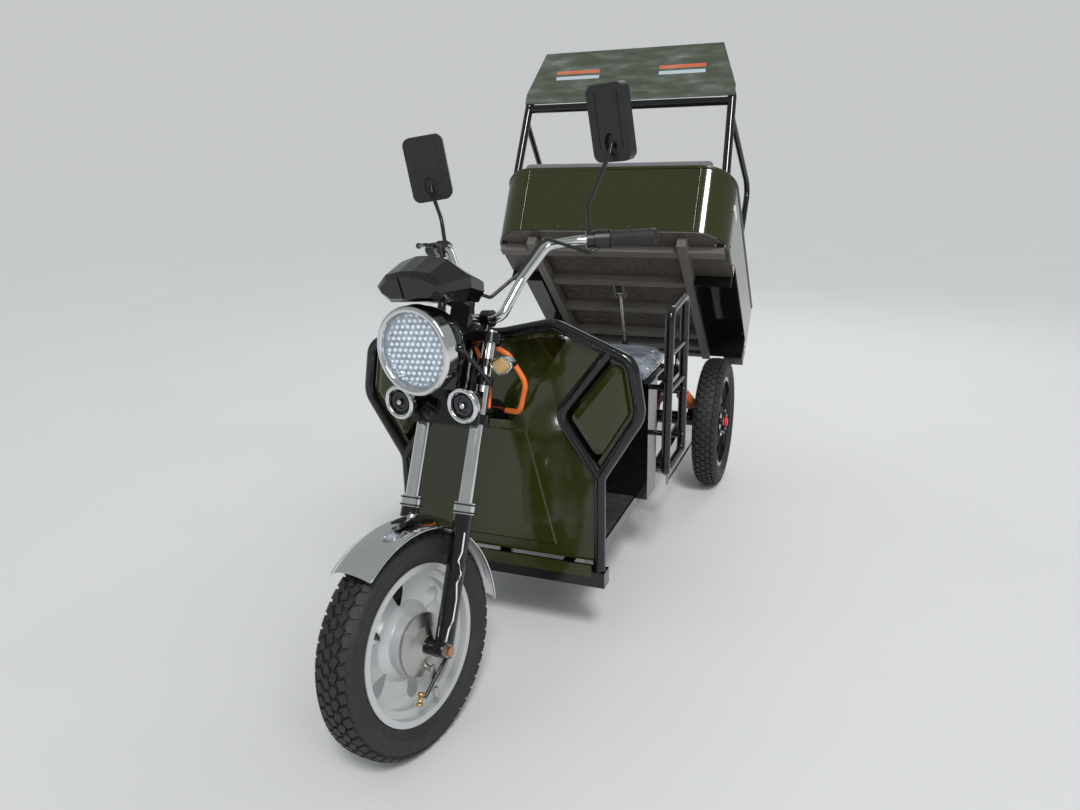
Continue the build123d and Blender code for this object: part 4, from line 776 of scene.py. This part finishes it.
@dataclass
class Strewn:
    """Many copies of one small solid, each at its own place and turn."""

    name: str
    form: Form
    size: Point
    finish: Finish
    body: str
    sides: int = 6

    def solid(self, nodes: Any) -> Any:
        """The node of one solid that is 1 across each way.

        Args:
            nodes: The nodes of the tree that it goes in.

        Returns:
            The new node.
        """
        solid = nodes.new(self.form.value)
        if self.form is Form.BLOCK:
            solid.inputs["Size"].default_value = (1.0, 1.0, 1.0)
            return solid
        solid.inputs["Radius"].default_value = 0.5
        if self.form is Form.DISC:
            solid.inputs["Depth"].default_value = 1.0
        else:
            solid.inputs["Rings"].default_value = 6
        return solid

    def group(self) -> Any:
        """Wires the nodes that put one solid on each point of the incoming mesh.

        Returns:
            The new node group.
        """
        group = bpy.data.node_groups.new(self.name, "GeometryNodeTree")
        for label, kind, way in (("Geometry", "Geometry", "INPUT"), ("Size", "Vector", "INPUT"),
                                 ("Sides", "Int", "INPUT"), ("Finish", "Material", "INPUT"),
                                 ("Geometry", "Geometry", "OUTPUT")):
            group.interface.new_socket(name=label, in_out=way, socket_type=f"NodeSocket{kind}")
        nodes = group.nodes
        source = nodes.new("NodeGroupInput")
        result = nodes.new("NodeGroupOutput")
        points = nodes.new("GeometryNodeMeshToPoints")
        solid = self.solid(nodes)
        sized = nodes.new("GeometryNodeTransform")
        turn = nodes.new("GeometryNodeInputNamedAttribute")
        turn.data_type = "FLOAT_VECTOR"
        turn.inputs["Name"].default_value = "turn"
        copies = nodes.new("GeometryNodeInstanceOnPoints")
        real = nodes.new("GeometryNodeRealizeInstances")
        paint = nodes.new("GeometryNodeSetMaterial")
        wires = [
            (source, "Geometry", points, "Mesh"), (solid, "Mesh", sized, "Geometry"),
            (source, "Size", sized, "Scale"), (points, 0, copies, "Points"), (sized, 0, copies, "Instance"),
            (turn, 0, copies, "Rotation"), (copies, 0, real, 0), (real, 0, paint, "Geometry"),
            (source, "Finish", paint, "Material"), (paint, 0, result, 0),
        ]
        if self.form is not Form.BLOCK:
            wires.append((source, "Sides", solid, "Vertices" if self.form is Form.DISC else "Segments"))
        for start, leaving, end, entering in wires:
            group.links.new(start.outputs[leaving], end.inputs[entering])
        return group

    def build(self, places: Sequence[Matrix]) -> bpy.types.Object:
        """Strews the solids.

        Args:
            places: Where each one goes, in metres; each Z is the solid's own Z.

        Returns:
            The plain mesh piece.
        """
        base = bpy.data.meshes.new(self.name)
        base.from_pydata([tuple(place.translation) for place in places], [], [])
        turn = base.attributes.new("turn", "FLOAT_VECTOR", "POINT")
        for index, place in enumerate(places):
            turn.data[index].vector = tuple(place.to_euler("XYZ"))
        holder = linked(self.name, base)
        modifier = holder.modifiers.new("strewn", "NODES")
        group = self.group()
        modifier.node_group = group
        values = {"Size": tuple(value * MM for value in self.size), "Sides": self.sides, "Finish": self.finish.make()}
        for item in group.interface.items_tree:
            if item.in_out == "INPUT" and item.name in values:
                modifier[item.identifier] = values[item.name]
        mesh = worked_out(holder)
        holder.modifiers.clear()
        bpy.data.objects.remove(holder)
        bpy.data.meshes.remove(base)
        return Maker.piece(self.name, shape_of(mesh), self.finish, self.body, smooth=self.form is Form.DOME)


# Stage


@dataclass(frozen=True)
class Lamp:
    """One soft square lamp."""

    name: str
    place: Point
    target: Point
    size: float
    power: float

    def hang(self) -> None:
        """Puts the lamp in the room, looking at its target."""
        data = bpy.data.lights.new(self.name, "AREA")
        data.size = self.size
        data.energy = self.power
        way = Vector(self.target) - Vector(self.place)
        turn = way.to_track_quat("-Z", "Y").to_matrix().to_4x4()
        linked(self.name, data).matrix_world = Matrix.Translation(Vector(self.place)) @ turn


@dataclass
class Studio:
    """Floor, lights and the camera at the photograph's viewing angle."""

    camera_place: Point = (0.80147, -2.23076, 1.18456)
    right: Point = (0.93336584, 0.35831189, -0.02099487)
    up: Point = (-0.08273734, 0.27170316, 0.95881798)
    forward: Point = (-0.34926025, 0.8931909, -0.28324422)
    focal_px: float = 831.475
    frame_px: float = 1080.0
    sensor: float = 36.0
    floor_half: float = 90.0
    floor_dark: Colour = (0.74, 0.74, 0.73)
    floor_light: Colour = (0.78, 0.78, 0.77)
    room_light: Colour = (0.82, 0.86, 0.9)
    room_strength: float = 0.5
    backdrop: Colour = (0.564, 0.577, 0.58)
    mirrored: Colour = (0.34, 0.37, 0.35)
    sun_strength: float = 1.5
    sun_softness: float = 12.0
    sun_turn: Pair = (34.0, 22.0)
    lamps: Sequence[Lamp] = (
        Lamp("key", (2.6, -3.4, 3.6), (0.0, -0.2, 0.6), 1.6, 40.0),
        Lamp("rim", (0.6, 3.6, 3.4), (0.0, 0.4, 0.9), 2.0, 30.0),
    )

    def camera(self) -> None:
        """Sets up the camera from the measured axes."""
        data = bpy.data.cameras.new("camera")
        data.sensor_width = self.sensor
        data.lens = self.focal_px / self.frame_px * self.sensor
        camera = linked("camera", data)
        turn = Matrix((Vector(self.right), Vector(self.up), -Vector(self.forward))).transposed().to_4x4()
        camera.matrix_world = Matrix.Translation(Vector(self.camera_place)) @ turn
        bpy.context.scene.camera = camera

    def floor(self) -> None:
        """Lays the plain pale floor."""
        shape = bmesh.new()
        edge = self.floor_half
        corner = ((-edge, -edge), (edge, -edge), (edge, edge), (-edge, edge))
        shape.faces.new([shape.verts.new((x, y, 0.0)) for x, y in corner])
        mesh = mesh_of(shape, "floor")
        board = Board("floor_plain")
        board.set(Base_Color=board.tint(board.noise(1.5), self.floor_dark, self.floor_light), Roughness=0.7)
        mesh.materials.append(board.material)
        floor = linked("floor", mesh)

    def sun(self) -> None:
        """Adds one high sun with soft edges."""
        data = bpy.data.lights.new("sun", "SUN")
        data.energy = self.sun_strength
        data.angle = math.radians(self.sun_softness)
        linked("sun", data).rotation_euler = (*(math.radians(turn) for turn in self.sun_turn), 0.0)

    def world(self) -> None:
        """Gives the room a plain soft light, pale to the camera and darker to polished surfaces."""
        world = bpy.data.worlds.new("room")
        world.use_nodes = True
        nodes = world.node_tree.nodes
        links = world.node_tree.links
        nodes.clear()
        output = nodes.new("ShaderNodeOutputWorld")
        path = nodes.new("ShaderNodeLightPath")
        light = None
        for colour, strength, ray in ((self.room_light, self.room_strength, None),
                                      (self.mirrored, 1.0, "Is Glossy Ray"),
                                      (self.backdrop, 1.0, "Is Camera Ray")):
            plain = nodes.new("ShaderNodeBackground")
            plain.inputs["Color"].default_value = (*colour, 1.0)
            plain.inputs["Strength"].default_value = strength
            if ray is None:
                light = plain
                continue
            mix = nodes.new("ShaderNodeMixShader")
            links.new(path.outputs[ray], mix.inputs[0])
            links.new(light.outputs[0], mix.inputs[1])
            links.new(plain.outputs[0], mix.inputs[2])
            light = mix
        links.new(light.outputs[0], output.inputs["Surface"])
        bpy.context.scene.world = world

    def build(self) -> None:
        """Sets the whole studio up."""
        bpy.context.scene.view_settings.view_transform = "Standard"
        self.camera()
        self.floor()
        self.world()
        self.sun()
        for lamp in self.lamps:
            lamp.hang()


# Sub-assemblies


@dataclass(frozen=True)
class Ring:
    """One ring of tread blocks on the left half of a tyre; the right half mirrors it."""

    width: float
    drop: float
    tilt: float
    skew: float
    offset: float = 0.0


@dataclass
class Tyre:
    """One tyre with cut tread blocks."""

    name: str
    node: str
    body: str
    place: Matrix
    radius: float = 235.0
    tread_depth: float = 5.0
    blocks: int = 54
    sides: int = 96
    centre_ring: Ring = Ring(0.0, 3.1, 0.0, 18.0)
    flank_ring: Ring = Ring(17.0, 4.0, 6.0, -24.0, 0.5)
    shoulder_ring: Ring = Ring(31.5, 10.5, 38.0, 12.0)
    crown_block: Point = (13.5, 19.0, 5.2)
    shoulder_block: Point = (13.0, 20.0, 7.0)

    def section(self) -> list[Pair]:
        """Works out the tyre's closed section.

        Returns:
            Its radius and width pairs.
        """
        deep = self.radius - self.tread_depth
        wall = [(156.0, 30.5), (168.0, 30.7), (170.0, 33.5), (173.0, 33.8), (175.0, 35.0), (186.0, 41.2),
                (187.5, 42.8), (190.0, 42.9), (191.5, 42.3), (199.0, 44.0), (203.0, 43.9), (204.0, 43.0),
                (205.5, 43.0), (206.5, 43.6), (212.0, 42.5),
                (deep - 11.0, 37.0), (deep - 4.0, 26.0), (deep - 1.0, 13.0)]
        far_wall = [(radius, -width) for radius, width in reversed(wall)]
        inside = [(156.0, -22.0), (199.0, -34.0), (222.0, -18.0), (222.0, 18.0), (199.0, 34.0), (156.0, 22.0)]
        return [*wall, (deep, 0.0), *far_wall, *inside]

    def carcass(self) -> None:
        """The smooth body of the tyre, in place of the plain one."""
        turn = self.place @ turned(90, "Y") @ TO_METRES
        piece = Maker.piece(self.name, Maker.lathe(self.section(), turn, self.sides), TYRE, self.body)
        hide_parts(self.node)

    def row(self, ring: Ring, side: int) -> list[Matrix]:
        """Places of the blocks of one ring.

        Args:
            ring: How the ring lies on the left half.
            side: 1 for the left half, -1 for the right.

        Returns:
            One frame for each block.
        """
        lean = turned(side * ring.tilt, "Y") @ turned(side * ring.skew, "Z")
        seat = moved(side * ring.width, 0.0, self.radius - ring.drop) @ lean
        steps = [math.tau * (index + ring.offset) / self.blocks for index in range(self.blocks)]
        return [self.place @ Matrix.Rotation(angle, 4, "X") @ seat for angle in steps]

    def tread(self) -> None:
        """Sets the crown's rows and the shoulders' rows of blocks on the carcass."""
        crown = self.row(self.centre_ring, 1) + self.row(self.flank_ring, 1) + self.row(self.flank_ring, -1)
        Strewn(f"{self.name}_middle", Form.BLOCK, self.crown_block, TYRE, self.body).build(crown)
        shoulders = self.row(self.shoulder_ring, 1) + self.row(self.shoulder_ring, -1)
        Strewn(f"{self.name}_shoulder", Form.BLOCK, self.shoulder_block, TYRE, self.body).build(shoulders)

    def build(self) -> None:
        """Makes the tyre."""
        self.carcass()
        self.tread()


@dataclass
class RearHubs:
    """Tyres, wheel nuts and red hub caps of the two rear wheels."""

    hub: Point = (328.0, 760.0, 235.0)
    face: float = 37.0
    nut_circle: float = 42.0
    nuts: int = 5
    nut: Point = (14.0, 14.0, 9.0)
    cap: Sequence[Pair] = ((0.0, 0.0), (17.0, 0.0), (17.0, 9.0), (12.0, 13.0), (0.0, 14.0))

    def build(self) -> None:
        """Dresses both wheels."""
        for name, side in SIDES:
            body = f"rear_wheel_{name}"
            hub = moved(side * self.hub[0], *self.hub[1:])
            Tyre(f"rear_tread_{name}", f"rear_tyre_{name}", body, hub).build()
            seat = moved(side * self.face, 0.0, self.nut_circle) @ turned(90, "Y")
            nuts = [hub @ turned(360 * index / self.nuts, "X") @ seat for index in range(self.nuts)]
            Strewn(f"rear_nuts_{name}", Form.DISC, self.nut, STEEL, body).build(nuts)
            place = hub @ moved(side * self.face, 0.0, 0.0) @ turned(side * 90, "Y") @ TO_METRES
            Maker.piece(f"hub_cap_{name}", Maker.lathe(self.cap, place, 24), RED_CAP, body)


@dataclass
class ShockCoils:
    """The two wound springs round the rear dampers, in one piece."""

    low: Point = (242.0, 745.9, 296.3)
    high: Point = (242.0, 579.6, 382.4)
    radius: float = 20.0
    wire: float = 4.2
    turns: float = 7.0
    steps_per_turn: int = 12

    def winding(self, side: int) -> bmesh.types.BMesh:
        """Winds one spring.

        Args:
            side: 1 for the left one, -1 for the right.

        Returns:
            The closed wire.
        """
        low = Vector((side * self.low[0], *self.low[1:]))
        high = Vector((side * self.high[0], *self.high[1:]))
        length = (high - low).length
        steps = int(self.turns * self.steps_per_turn)
        points = []
        for step in range(steps + 1):
            angle = math.tau * self.turns * step / steps
            rise = self.wire + (length - 2 * self.wire) * step / steps
            points.append((self.radius * math.cos(angle), self.radius * math.sin(angle), rise))
        return Maker.bar(points, self.wire, TO_METRES @ aim(low, high), 8)

    def build(self) -> None:
        """Winds the springs."""
        shape = Maker.join([self.winding(side) for _, side in SIDES])
        coils = Maker.piece("shock_coils", shape, ORANGE, "chassis")
        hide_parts("shock_springs")


@dataclass
class Cushion:
    """A stuffed piece that is blown up by a cloth simulation from a slightly smaller block."""

    name: str
    node: str
    body: str
    low: Point
    high: Point
    finish: Finish
    place: Matrix
    rounding: float = 16.0
    margin: float = 5.0
    round_steps: int = 4
    voxel: float = 6.0
    most: float = 7.0
    fill: float = 0.8
    pressure: float = 4.0
    frames: int = 20
    held_cells: float = 1.5

    def block(self) -> bpy.types.Object:
        """Makes the smaller block, level and in metres.

        Returns:
            The block with an even fine mesh.
        """
        shape = bmesh.new()
        bmesh.ops.create_cube(shape, size=1.0)
        low = Vector(self.low) + Vector((self.margin, self.margin, 0.0))
        high = Vector(self.high) - Vector((self.margin, self.margin, self.margin))
        shape.transform(Matrix.Translation((low + high) / 2) @ Matrix.Diagonal((*(high - low), 1.0)))
        bmesh.ops.bevel(shape, geom=list(shape.edges), offset=self.rounding, segments=self.round_steps, affect="EDGES")
        shape.transform(TO_METRES)
        block = linked(self.name, mesh_of(shape, self.name))
        remesh = block.modifiers.new("even", "REMESH")
        remesh.mode = "VOXEL"
        remesh.voxel_size = self.voxel * MM
        self.settle(block)
        return block

    def settle(self, block: bpy.types.Object) -> None:
        """Makes an object's modifiers part of its mesh.

        Args:
            block: The object, whose mesh is exchanged.
        """
        mesh = worked_out(block)
        block.modifiers.clear()
        block.data = mesh

    def puff(self, block: bpy.types.Object) -> None:
        """Blows the block up, held at its bottom, and keeps each point near its start.

        Args:
            block: The fine block, whose points are moved.
        """
        scene = bpy.context.scene
        start = [vertex.co.copy() for vertex in block.data.vertices]
        held = block.vertex_groups.new(name="held")
        rim = (self.low[2] + self.voxel * self.held_cells) * MM
        held.add([vertex.index for vertex in block.data.vertices if vertex.co.z < rim], 1.0, "REPLACE")
        cloth = block.modifiers.new("cloth", "CLOTH").settings
        cloth.use_pressure = True
        cloth.uniform_pressure_force = self.pressure
        cloth.effector_weights.gravity = 0.0
        cloth.vertex_group_mass = "held"
        for number in range(1, self.frames + 1):
            scene.frame_set(number)
        evaluated = block.evaluated_get(bpy.context.evaluated_depsgraph_get())
        moved_to = [vertex.co.copy() for vertex in evaluated.data.vertices]
        block.modifiers.clear()
        for vertex, before, after in zip(block.data.vertices, start, moved_to):
            way = after - before
            if way.length > self.most * MM:
                way = way.normalized() * self.most * MM
            vertex.co = before + way
        scene.frame_set(1)

    def build(self) -> None:
        """Makes the stuffed piece in place of its plain solid."""
        block = self.block()
        self.puff(block)
        block.modifiers.new("smooth", "SUBSURF").levels = 1
        self.settle(block)
        mesh = block.data
        bpy.data.objects.remove(block)
        shape = shape_of(mesh)
        shape.transform(self.place)
        piece = Maker.piece(self.name, shape, self.finish, self.body)
        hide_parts(self.node)


@dataclass
class Headlight:
    """The mirrored dish and the light dots behind the big lens."""

    centre: Point = (0.0, -193.0, 583.0)
    pitch: float = 14.0
    row_pitch: float = 0.866
    reach: float = 75.0
    dot: Point = (7.0, 7.0, 3.0)
    dot_depth: float = -10.5
    dish: Sequence[Pair] = ((0.0, -12.0), (60.0, -12.0), (74.0, -9.0), (78.5, -6.0), (78.5, -8.0), (74.0, -12.0),
                            (60.0, -15.0), (0.0, -15.0))

    def build(self) -> None:
        """Puts the dish and the dots in the bowl."""
        place = lamp_frame(*self.centre)
        Maker.piece("lamp_dish", Maker.lathe(self.dish, place @ TO_METRES, 64), CELLS, "steering")
        dots = []
        count = int(self.reach / self.pitch) + 2
        for row in range(-count, count + 1):
            for column in range(-count, count + 1):
                x = (column + 0.5 * (row % 2)) * self.pitch
                y = row * self.pitch * self.row_pitch
                if math.hypot(x, y) < self.reach:
                    dots.append(place @ moved(x, y, self.dot_depth))
        Strewn("lamp_dots", Form.DISC, self.dot, LED_WHITE, "steering", 12).build(dots)


@dataclass
class SmallLamps:
    """Trim of the round lamps and the turn signals."""

    round_centre: Point = (84.0, -112.0, 490.0)
    boss: Point = (13.0, 13.0, 9.0)
    boss_rise: float = 1.5
    signal_centre: Point = (124.0, -35.0, 596.0)
    signal_corners: Sequence[Pair] = ((32.5, 2.0), (4.0, 23.0), (-28.5, 6.0), (-2.0, -21.0))
    rim_height: float = 23.0
    rim_wire: float = 2.4

    def build(self) -> None:
        """Adds the chrome bosses and the signals' bright rims."""
        rise = moved(0.0, 0.0, self.boss_rise)
        bosses = [lamp_frame(side * self.round_centre[0], *self.round_centre[1:]) @ rise for _, side in SIDES]
        Strewn("lamp_centres", Form.DOME, self.boss, CHROME, "steering", 16).build(bosses)
        corner = [Vector((x, y, self.rim_height)) for x, y in self.signal_corners]
        loop = []
        for point, following in zip(corner, corner[1:] + corner[:1]):
            loop += [tuple(point), tuple((point + following) / 2)]
        loop = [loop[-1], *loop]
        rims = []
        for _, side in SIDES:
            place = lamp_frame(side * self.signal_centre[0], *self.signal_centre[1:]) @ TO_METRES
            rims.append(Maker.bar(loop, self.rim_wire, place, 8))
        Maker.piece("signal_rims", Maker.join(rims), CHROME, "steering")


@dataclass
class ForkTrim:
    """Decals, rings, leads, nuts and the cable's adjuster on the fork."""

    leg_x: float = 72.0
    leg_y: float = -35.0
    slider: float = 20.0
    band_width: float = 3.2
    band_half: float = 0.4
    zigzag: Sequence[Pair] = ((32, 236), (30, 196), (44, 178), (14, 152), (34, 132), (20, 100), (22, 58), (40, 40),
                              (46, 12))
    ring_heights: Pair = (277.0, 293.0)
    ring: Sequence[Pair] = ((22.6, -2.0), (24.4, -1.4), (24.4, 1.4), (22.6, 2.0))
    lead_gap: float = 9.0
    lead_radius: float = 3.4
    nut_centre: Point = (104.0, -58.0, 0.0)
    nut: Point = (22.0, 22.0, 11.0)
    adjuster_place: Point = (51.0, -58.0, -104.0)
    adjuster: Sequence[Pair] = ((0.0, -14.0), (6.8, -14.0), (6.8, -9.0), (5.0, -9.0), (5.0, 6.0), (7.4, 6.0),
                                (7.4, 12.0), (0.0, 12.0))

    def ribbon(self, side: int) -> bmesh.types.BMesh:
        """The thin zigzag band bent round the outside of one fork leg.

        Args:
            side: 1 for the left leg, -1 for the right.

        Returns:
            The closed band.
        """
        shape = bmesh.new()
        half = self.band_width / 2 / self.slider
        outer = self.slider + self.band_half
        inner = self.slider - self.band_half
        rings = []
        for degrees, height in self.zigzag:
            ring = []
            for radius, shift in ((outer, -half), (outer, half), (inner, half), (inner, -half)):
                angle = math.radians(degrees) + shift
                x = side * (self.leg_x + radius * math.cos(angle))
                ring.append(shape.verts.new((x, self.leg_y - radius * math.sin(angle), height)))
            rings.append(ring)
        for low, high in zip(rings, rings[1:]):
            for index in range(4):
                following = (index + 1) % 4
                shape.faces.new([low[index], low[following], high[following], high[index]])
        shape.faces.new(rings[0])
        shape.faces.new(list(reversed(rings[-1])))
        shape.transform(fork_frame())
        return shape

    def lead(self, shift: float) -> bmesh.types.BMesh:
        """Bends one of the leads behind the left leg.

        Args:
            shift: How far it is set off from the first, in mm.

        Returns:
            The closed lead.
        """
        route = [(66.0 + shift, -6.0, 505.0), (58.0 + shift, 4.0, 540.0), (44.0, 10.0 + shift, 575.0),
                 (30.0, -6.0, 616.0 + shift), (26.0, -24.0, 638.0)]
        return Maker.bar(route, self.lead_radius, fork_frame(), 10)

    def build(self) -> None:
        """Adds all of it."""
        bands = [self.ribbon(side) for _, side in SIDES]
        Maker.piece("fork_decals", Maker.join(bands), DECAL, "steering", smooth=False)
        seats = [(side * self.leg_x, self.leg_y, height) for _, side in SIDES for height in self.ring_heights]
        rings = [Maker.lathe(self.ring, fork_frame() @ Matrix.Translation(seat), 32) for seat in seats]
        Maker.piece("fork_rings", Maker.join(rings), RUBBER, "steering")
        leads = [self.lead(shift) for shift in (0.0, self.lead_gap)]
        Maker.piece("fork_leads", Maker.join(leads), LEAD, "steering")
        nuts = []
        for _, side in SIDES:
            spot = Matrix.Translation((side * self.nut_centre[0], *self.nut_centre[1:]))
            nuts.append(unscaled(fork_frame() @ spot) @ turned(90, "Y"))
        Strewn("axle_nuts", Form.DISC, self.nut, COPPER, "steering").build(nuts)
        place = fork_frame() @ Matrix.Translation(self.adjuster_place)
        Maker.piece("cable_adjuster", Maker.lathe(self.adjuster, place, 16), BRASS, "steering")


@dataclass
class Handles:
    """Ribbed sleeves and buttons at the two ends of the bar."""

    end: Point = (322.0, 187.0, 953.0)
    bend: Point = (180.0, 85.0, 912.0)
    ribs: int = 15
    first_rib: float = 4.0
    rib_pitch: float = 6.2
    groove: float = 17.3
    crest: float = 18.3
    button: Point = (8.0, 4.0, 13.0)
    button_place: Point = (0.0, 21.0, 123.0)
    button_turns: Sequence[float] = (-0.9, 0.0, 0.9)

    def place(self, side: int) -> Matrix:
        """A frame at one bar end with Z pointing inwards along the bar, in mm."""
        end, bend = (Vector((side * point[0], *point[1:])) for point in (self.end, self.bend))
        return fork_frame() @ aim(end, bend)

    def sleeve(self) -> list[Pair]:
        """Works out the ribbed grip's closed section.

        Returns:
            Its radius and height pairs.
        """
        ribs = []
        for index in range(self.ribs):
            start = self.first_rib + index * self.rib_pitch
            ribs += [(self.groove, start), (self.crest, start + 1.2), (self.crest, start + 3.4),
                     (self.groove, start + 4.6)]
        cap = [(0.0, -7.0), (14.0, -6.5), (17.6, -3.0)]
        flange = [(self.groove, 98.0), (21.5, 101.0), (21.5, 104.5), (16.8, 105.5), (16.8, -4.5), (0.0, -4.5)]
        return [*cap, *ribs, *flange]

    def build(self) -> None:
        """Covers the grips and sets the buttons."""
        grips = [Maker.lathe(self.sleeve(), self.place(side), 32) for _, side in SIDES]
        Maker.piece("grip_sleeves", Maker.join(grips), RUBBER, "steering")
        buttons = []
        for _, side in SIDES:
            for turn in self.button_turns:
                spot = Matrix.Rotation(turn, 4, "Z") @ Matrix.Translation(self.button_place)
                buttons.append(unscaled(self.place(side) @ spot))
        Strewn("switch_buttons", Form.BLOCK, self.button, RUBBER, "steering").build(buttons)


@dataclass
class MirrorBacks:
    """Two pressed ridges on each mirror's back."""

    heads: Sequence[tuple[int, float, float, float, float]] = ((1, 258, 33, 1159, 12), (-1, 304, 100, 1142, 30))
    nod: float = 8.0
    ridge: Point = (3.0, 2.4, 118.0)
    ridge_x: float = 31.0
    ridge_y: float = -11.2
    ridge_z: float = 6.0

    def build(self) -> None:
        """Adds the ridges."""
        ridges = []
        for side, x, y, u, swing in self.heads:
            head = fork_spot(side * x, y, u) @ turned(self.nod, "X") @ turned(-side * swing, "Z")
            ridges += [head @ moved(shift, self.ridge_y, self.ridge_z) for shift in (-self.ridge_x, self.ridge_x)]
        Strewn("mirror_ridges", Form.BLOCK, self.ridge, BLACK_PLASTIC, "steering").build(ridges)


@dataclass
class FenderEdges:
    """The rolled edges of the front mudguard."""

    half: float = 51.0
    radius: float = 241.0
    wire: float = 2.2
    first: float = -92.0
    last: float = 32.0
    steps: int = 32

    def build(self) -> None:
        """Bends a bead along both edges."""
        place = steered() @ Matrix.Translation(WHEEL_CENTRE) @ TO_METRES
        beads = []
        for _, side in SIDES:
            line = []
            for step in range(self.steps + 1):
                angle = math.radians(self.first + (self.last - self.first) * step / self.steps)
                line.append((side * self.half, math.sin(-angle) * self.radius, math.cos(angle) * self.radius))
            beads.append(Maker.bar(line, self.wire, place, 8))
        Maker.piece("fender_beads", Maker.join(beads), CHROME, "steering")


@dataclass
class LoadBoxTrim:
    """Rivets and a reflector on the load box, and the tailgate's ribs and latches."""

    half_width: float = 399.0
    front_normal: Point = (0.0, 218.0, -52.0)
    wall_rivet: Point = (9.0, 9.0, 5.0)
    wall_rows: Sequence[tuple[float, float, int]] = ((698.0, 82.0, 80), (742.0, 262.0, 120))
    wall_reach: int = 240
    side_rivet: Point = (8.0, 8.0, 4.0)
    side_rivet_places: Sequence[int] = (-40, 60, 500, 600)
    rivet_height: float = 82.0
    reflector: Point = (62.0, 22.0, 4.0)
    reflector_place: Point = (399.6, 612.0, 205.0)
    gate_face: float = -87.3
    gate_rib: Point = (34.0, 150.0, 5.0)
    rib_pitch: float = 240.0
    rib_height: float = 168.0
    gate_latch: Point = (24.0, 58.0, 10.0)
    latch_x: float = 362.0
    latch_height: float = 236.0

    def box(self) -> None:
        """Adds rivets to the front wall and the sides, and the reflector."""
        points = [(x, forward, height) for forward, height, pitch in self.wall_rows
                  for x in range(-self.wall_reach, self.wall_reach + 1, pitch)]
        places = bed_places(points, self.front_normal)
        Strewn("wall_rivets", Form.DOME, self.wall_rivet, OLIVE, "bed", 12).build(places)
        places = []
        for _, side in SIDES:
            points = [(side * self.half_width, e1, self.rivet_height) for e1 in self.side_rivet_places]
            places += bed_places(points, (side, 0.0, 0.0))
        Strewn("side_rivets", Form.DOME, self.side_rivet, OLIVE, "bed", 12).build(places)
        places = bed_places([self.reflector_place], (1.0, 0.0, 0.0))
        Strewn("side_reflector", Form.BLOCK, self.reflector, PALE, "bed").build(places)

    def gate(self) -> None:
        """Adds the pressed ribs and the latches of the tailgate."""
        back = (0.0, -1.0, 0.0)
        ribs = bed_places([(step * self.rib_pitch, self.gate_face, self.rib_height) for step in (-1, 0, 1)], back)
        Strewn("gate_ribs", Form.BLOCK, self.gate_rib, OLIVE, "gate").build(ribs)
        latches = bed_places([(side * self.latch_x, self.gate_face, self.latch_height) for side in (-1, 1)], back)
        Strewn("gate_latches", Form.BLOCK, self.gate_latch, STEEL, "gate").build(latches)

    def build(self) -> None:
        """Adds all of it."""
        self.box()
        self.gate()


@dataclass
class FootMat:
    """Round studs on the foot mat."""

    pitch: float = 0.026
    stud: Point = (13.0, 13.0, 2.4)

    def build(self) -> None:
        """Sets the studs in rows over the mat's top."""
        low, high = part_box("foot_mat")
        columns, rows = (int((high[axis] - low[axis]) / self.pitch) for axis in (0, 1))
        studs = []
        for row in range(rows):
            for column in range(columns):
                x = (low[0] + high[0]) / 2 + (column - (columns - 1) / 2) * self.pitch
                y = (low[1] + high[1]) / 2 + (row - (rows - 1) / 2) * self.pitch
                studs.append(Matrix.Translation((x, y, high[2])))
        Strewn("mat_studs", Form.DISC, self.stud, MAT, "chassis", 10).build(studs)


def dress_nodes() -> None:
    """Gives every kept solid its finish."""
    for name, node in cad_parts.items():
        for slot in node.material_slots:
            slot.material = NODE_FINISHES[name].make()
        log.info("%s dressed in %s", name, NODE_FINISHES[name].name)


def main() -> None:
    """Builds every sub-assembly in order."""
    logging.basicConfig(level=logging.INFO, format="%(message)s")
    Studio().build()
    dress_nodes()
    Tyre("front_tread", "front_tyre", "front_wheel", steered() @ Matrix.Translation(WHEEL_CENTRE)).build()
    RearHubs().build()
    ShockCoils().build()
    level = Matrix.Identity(4)
    Cushion("seat_pillow", "seat_cushion", "seat", (-300, -133, 604.3), (300, 105, 662), SEAT_FILM, level).build()
    bed = bed_frame() @ Matrix.Scale(1.0 / MM, 4)
    Cushion("wrapped_pad", "wall_pad", "bed", (-328, 703, 290.3), (328, 737, 334), PAD_CLOTH, bed, 9.0, 4.0).build()
    for trim in (Headlight, SmallLamps, ForkTrim, Handles, MirrorBacks, FenderEdges, LoadBoxTrim, FootMat):
        trim().build()


if __name__ == "__main__":
    main()
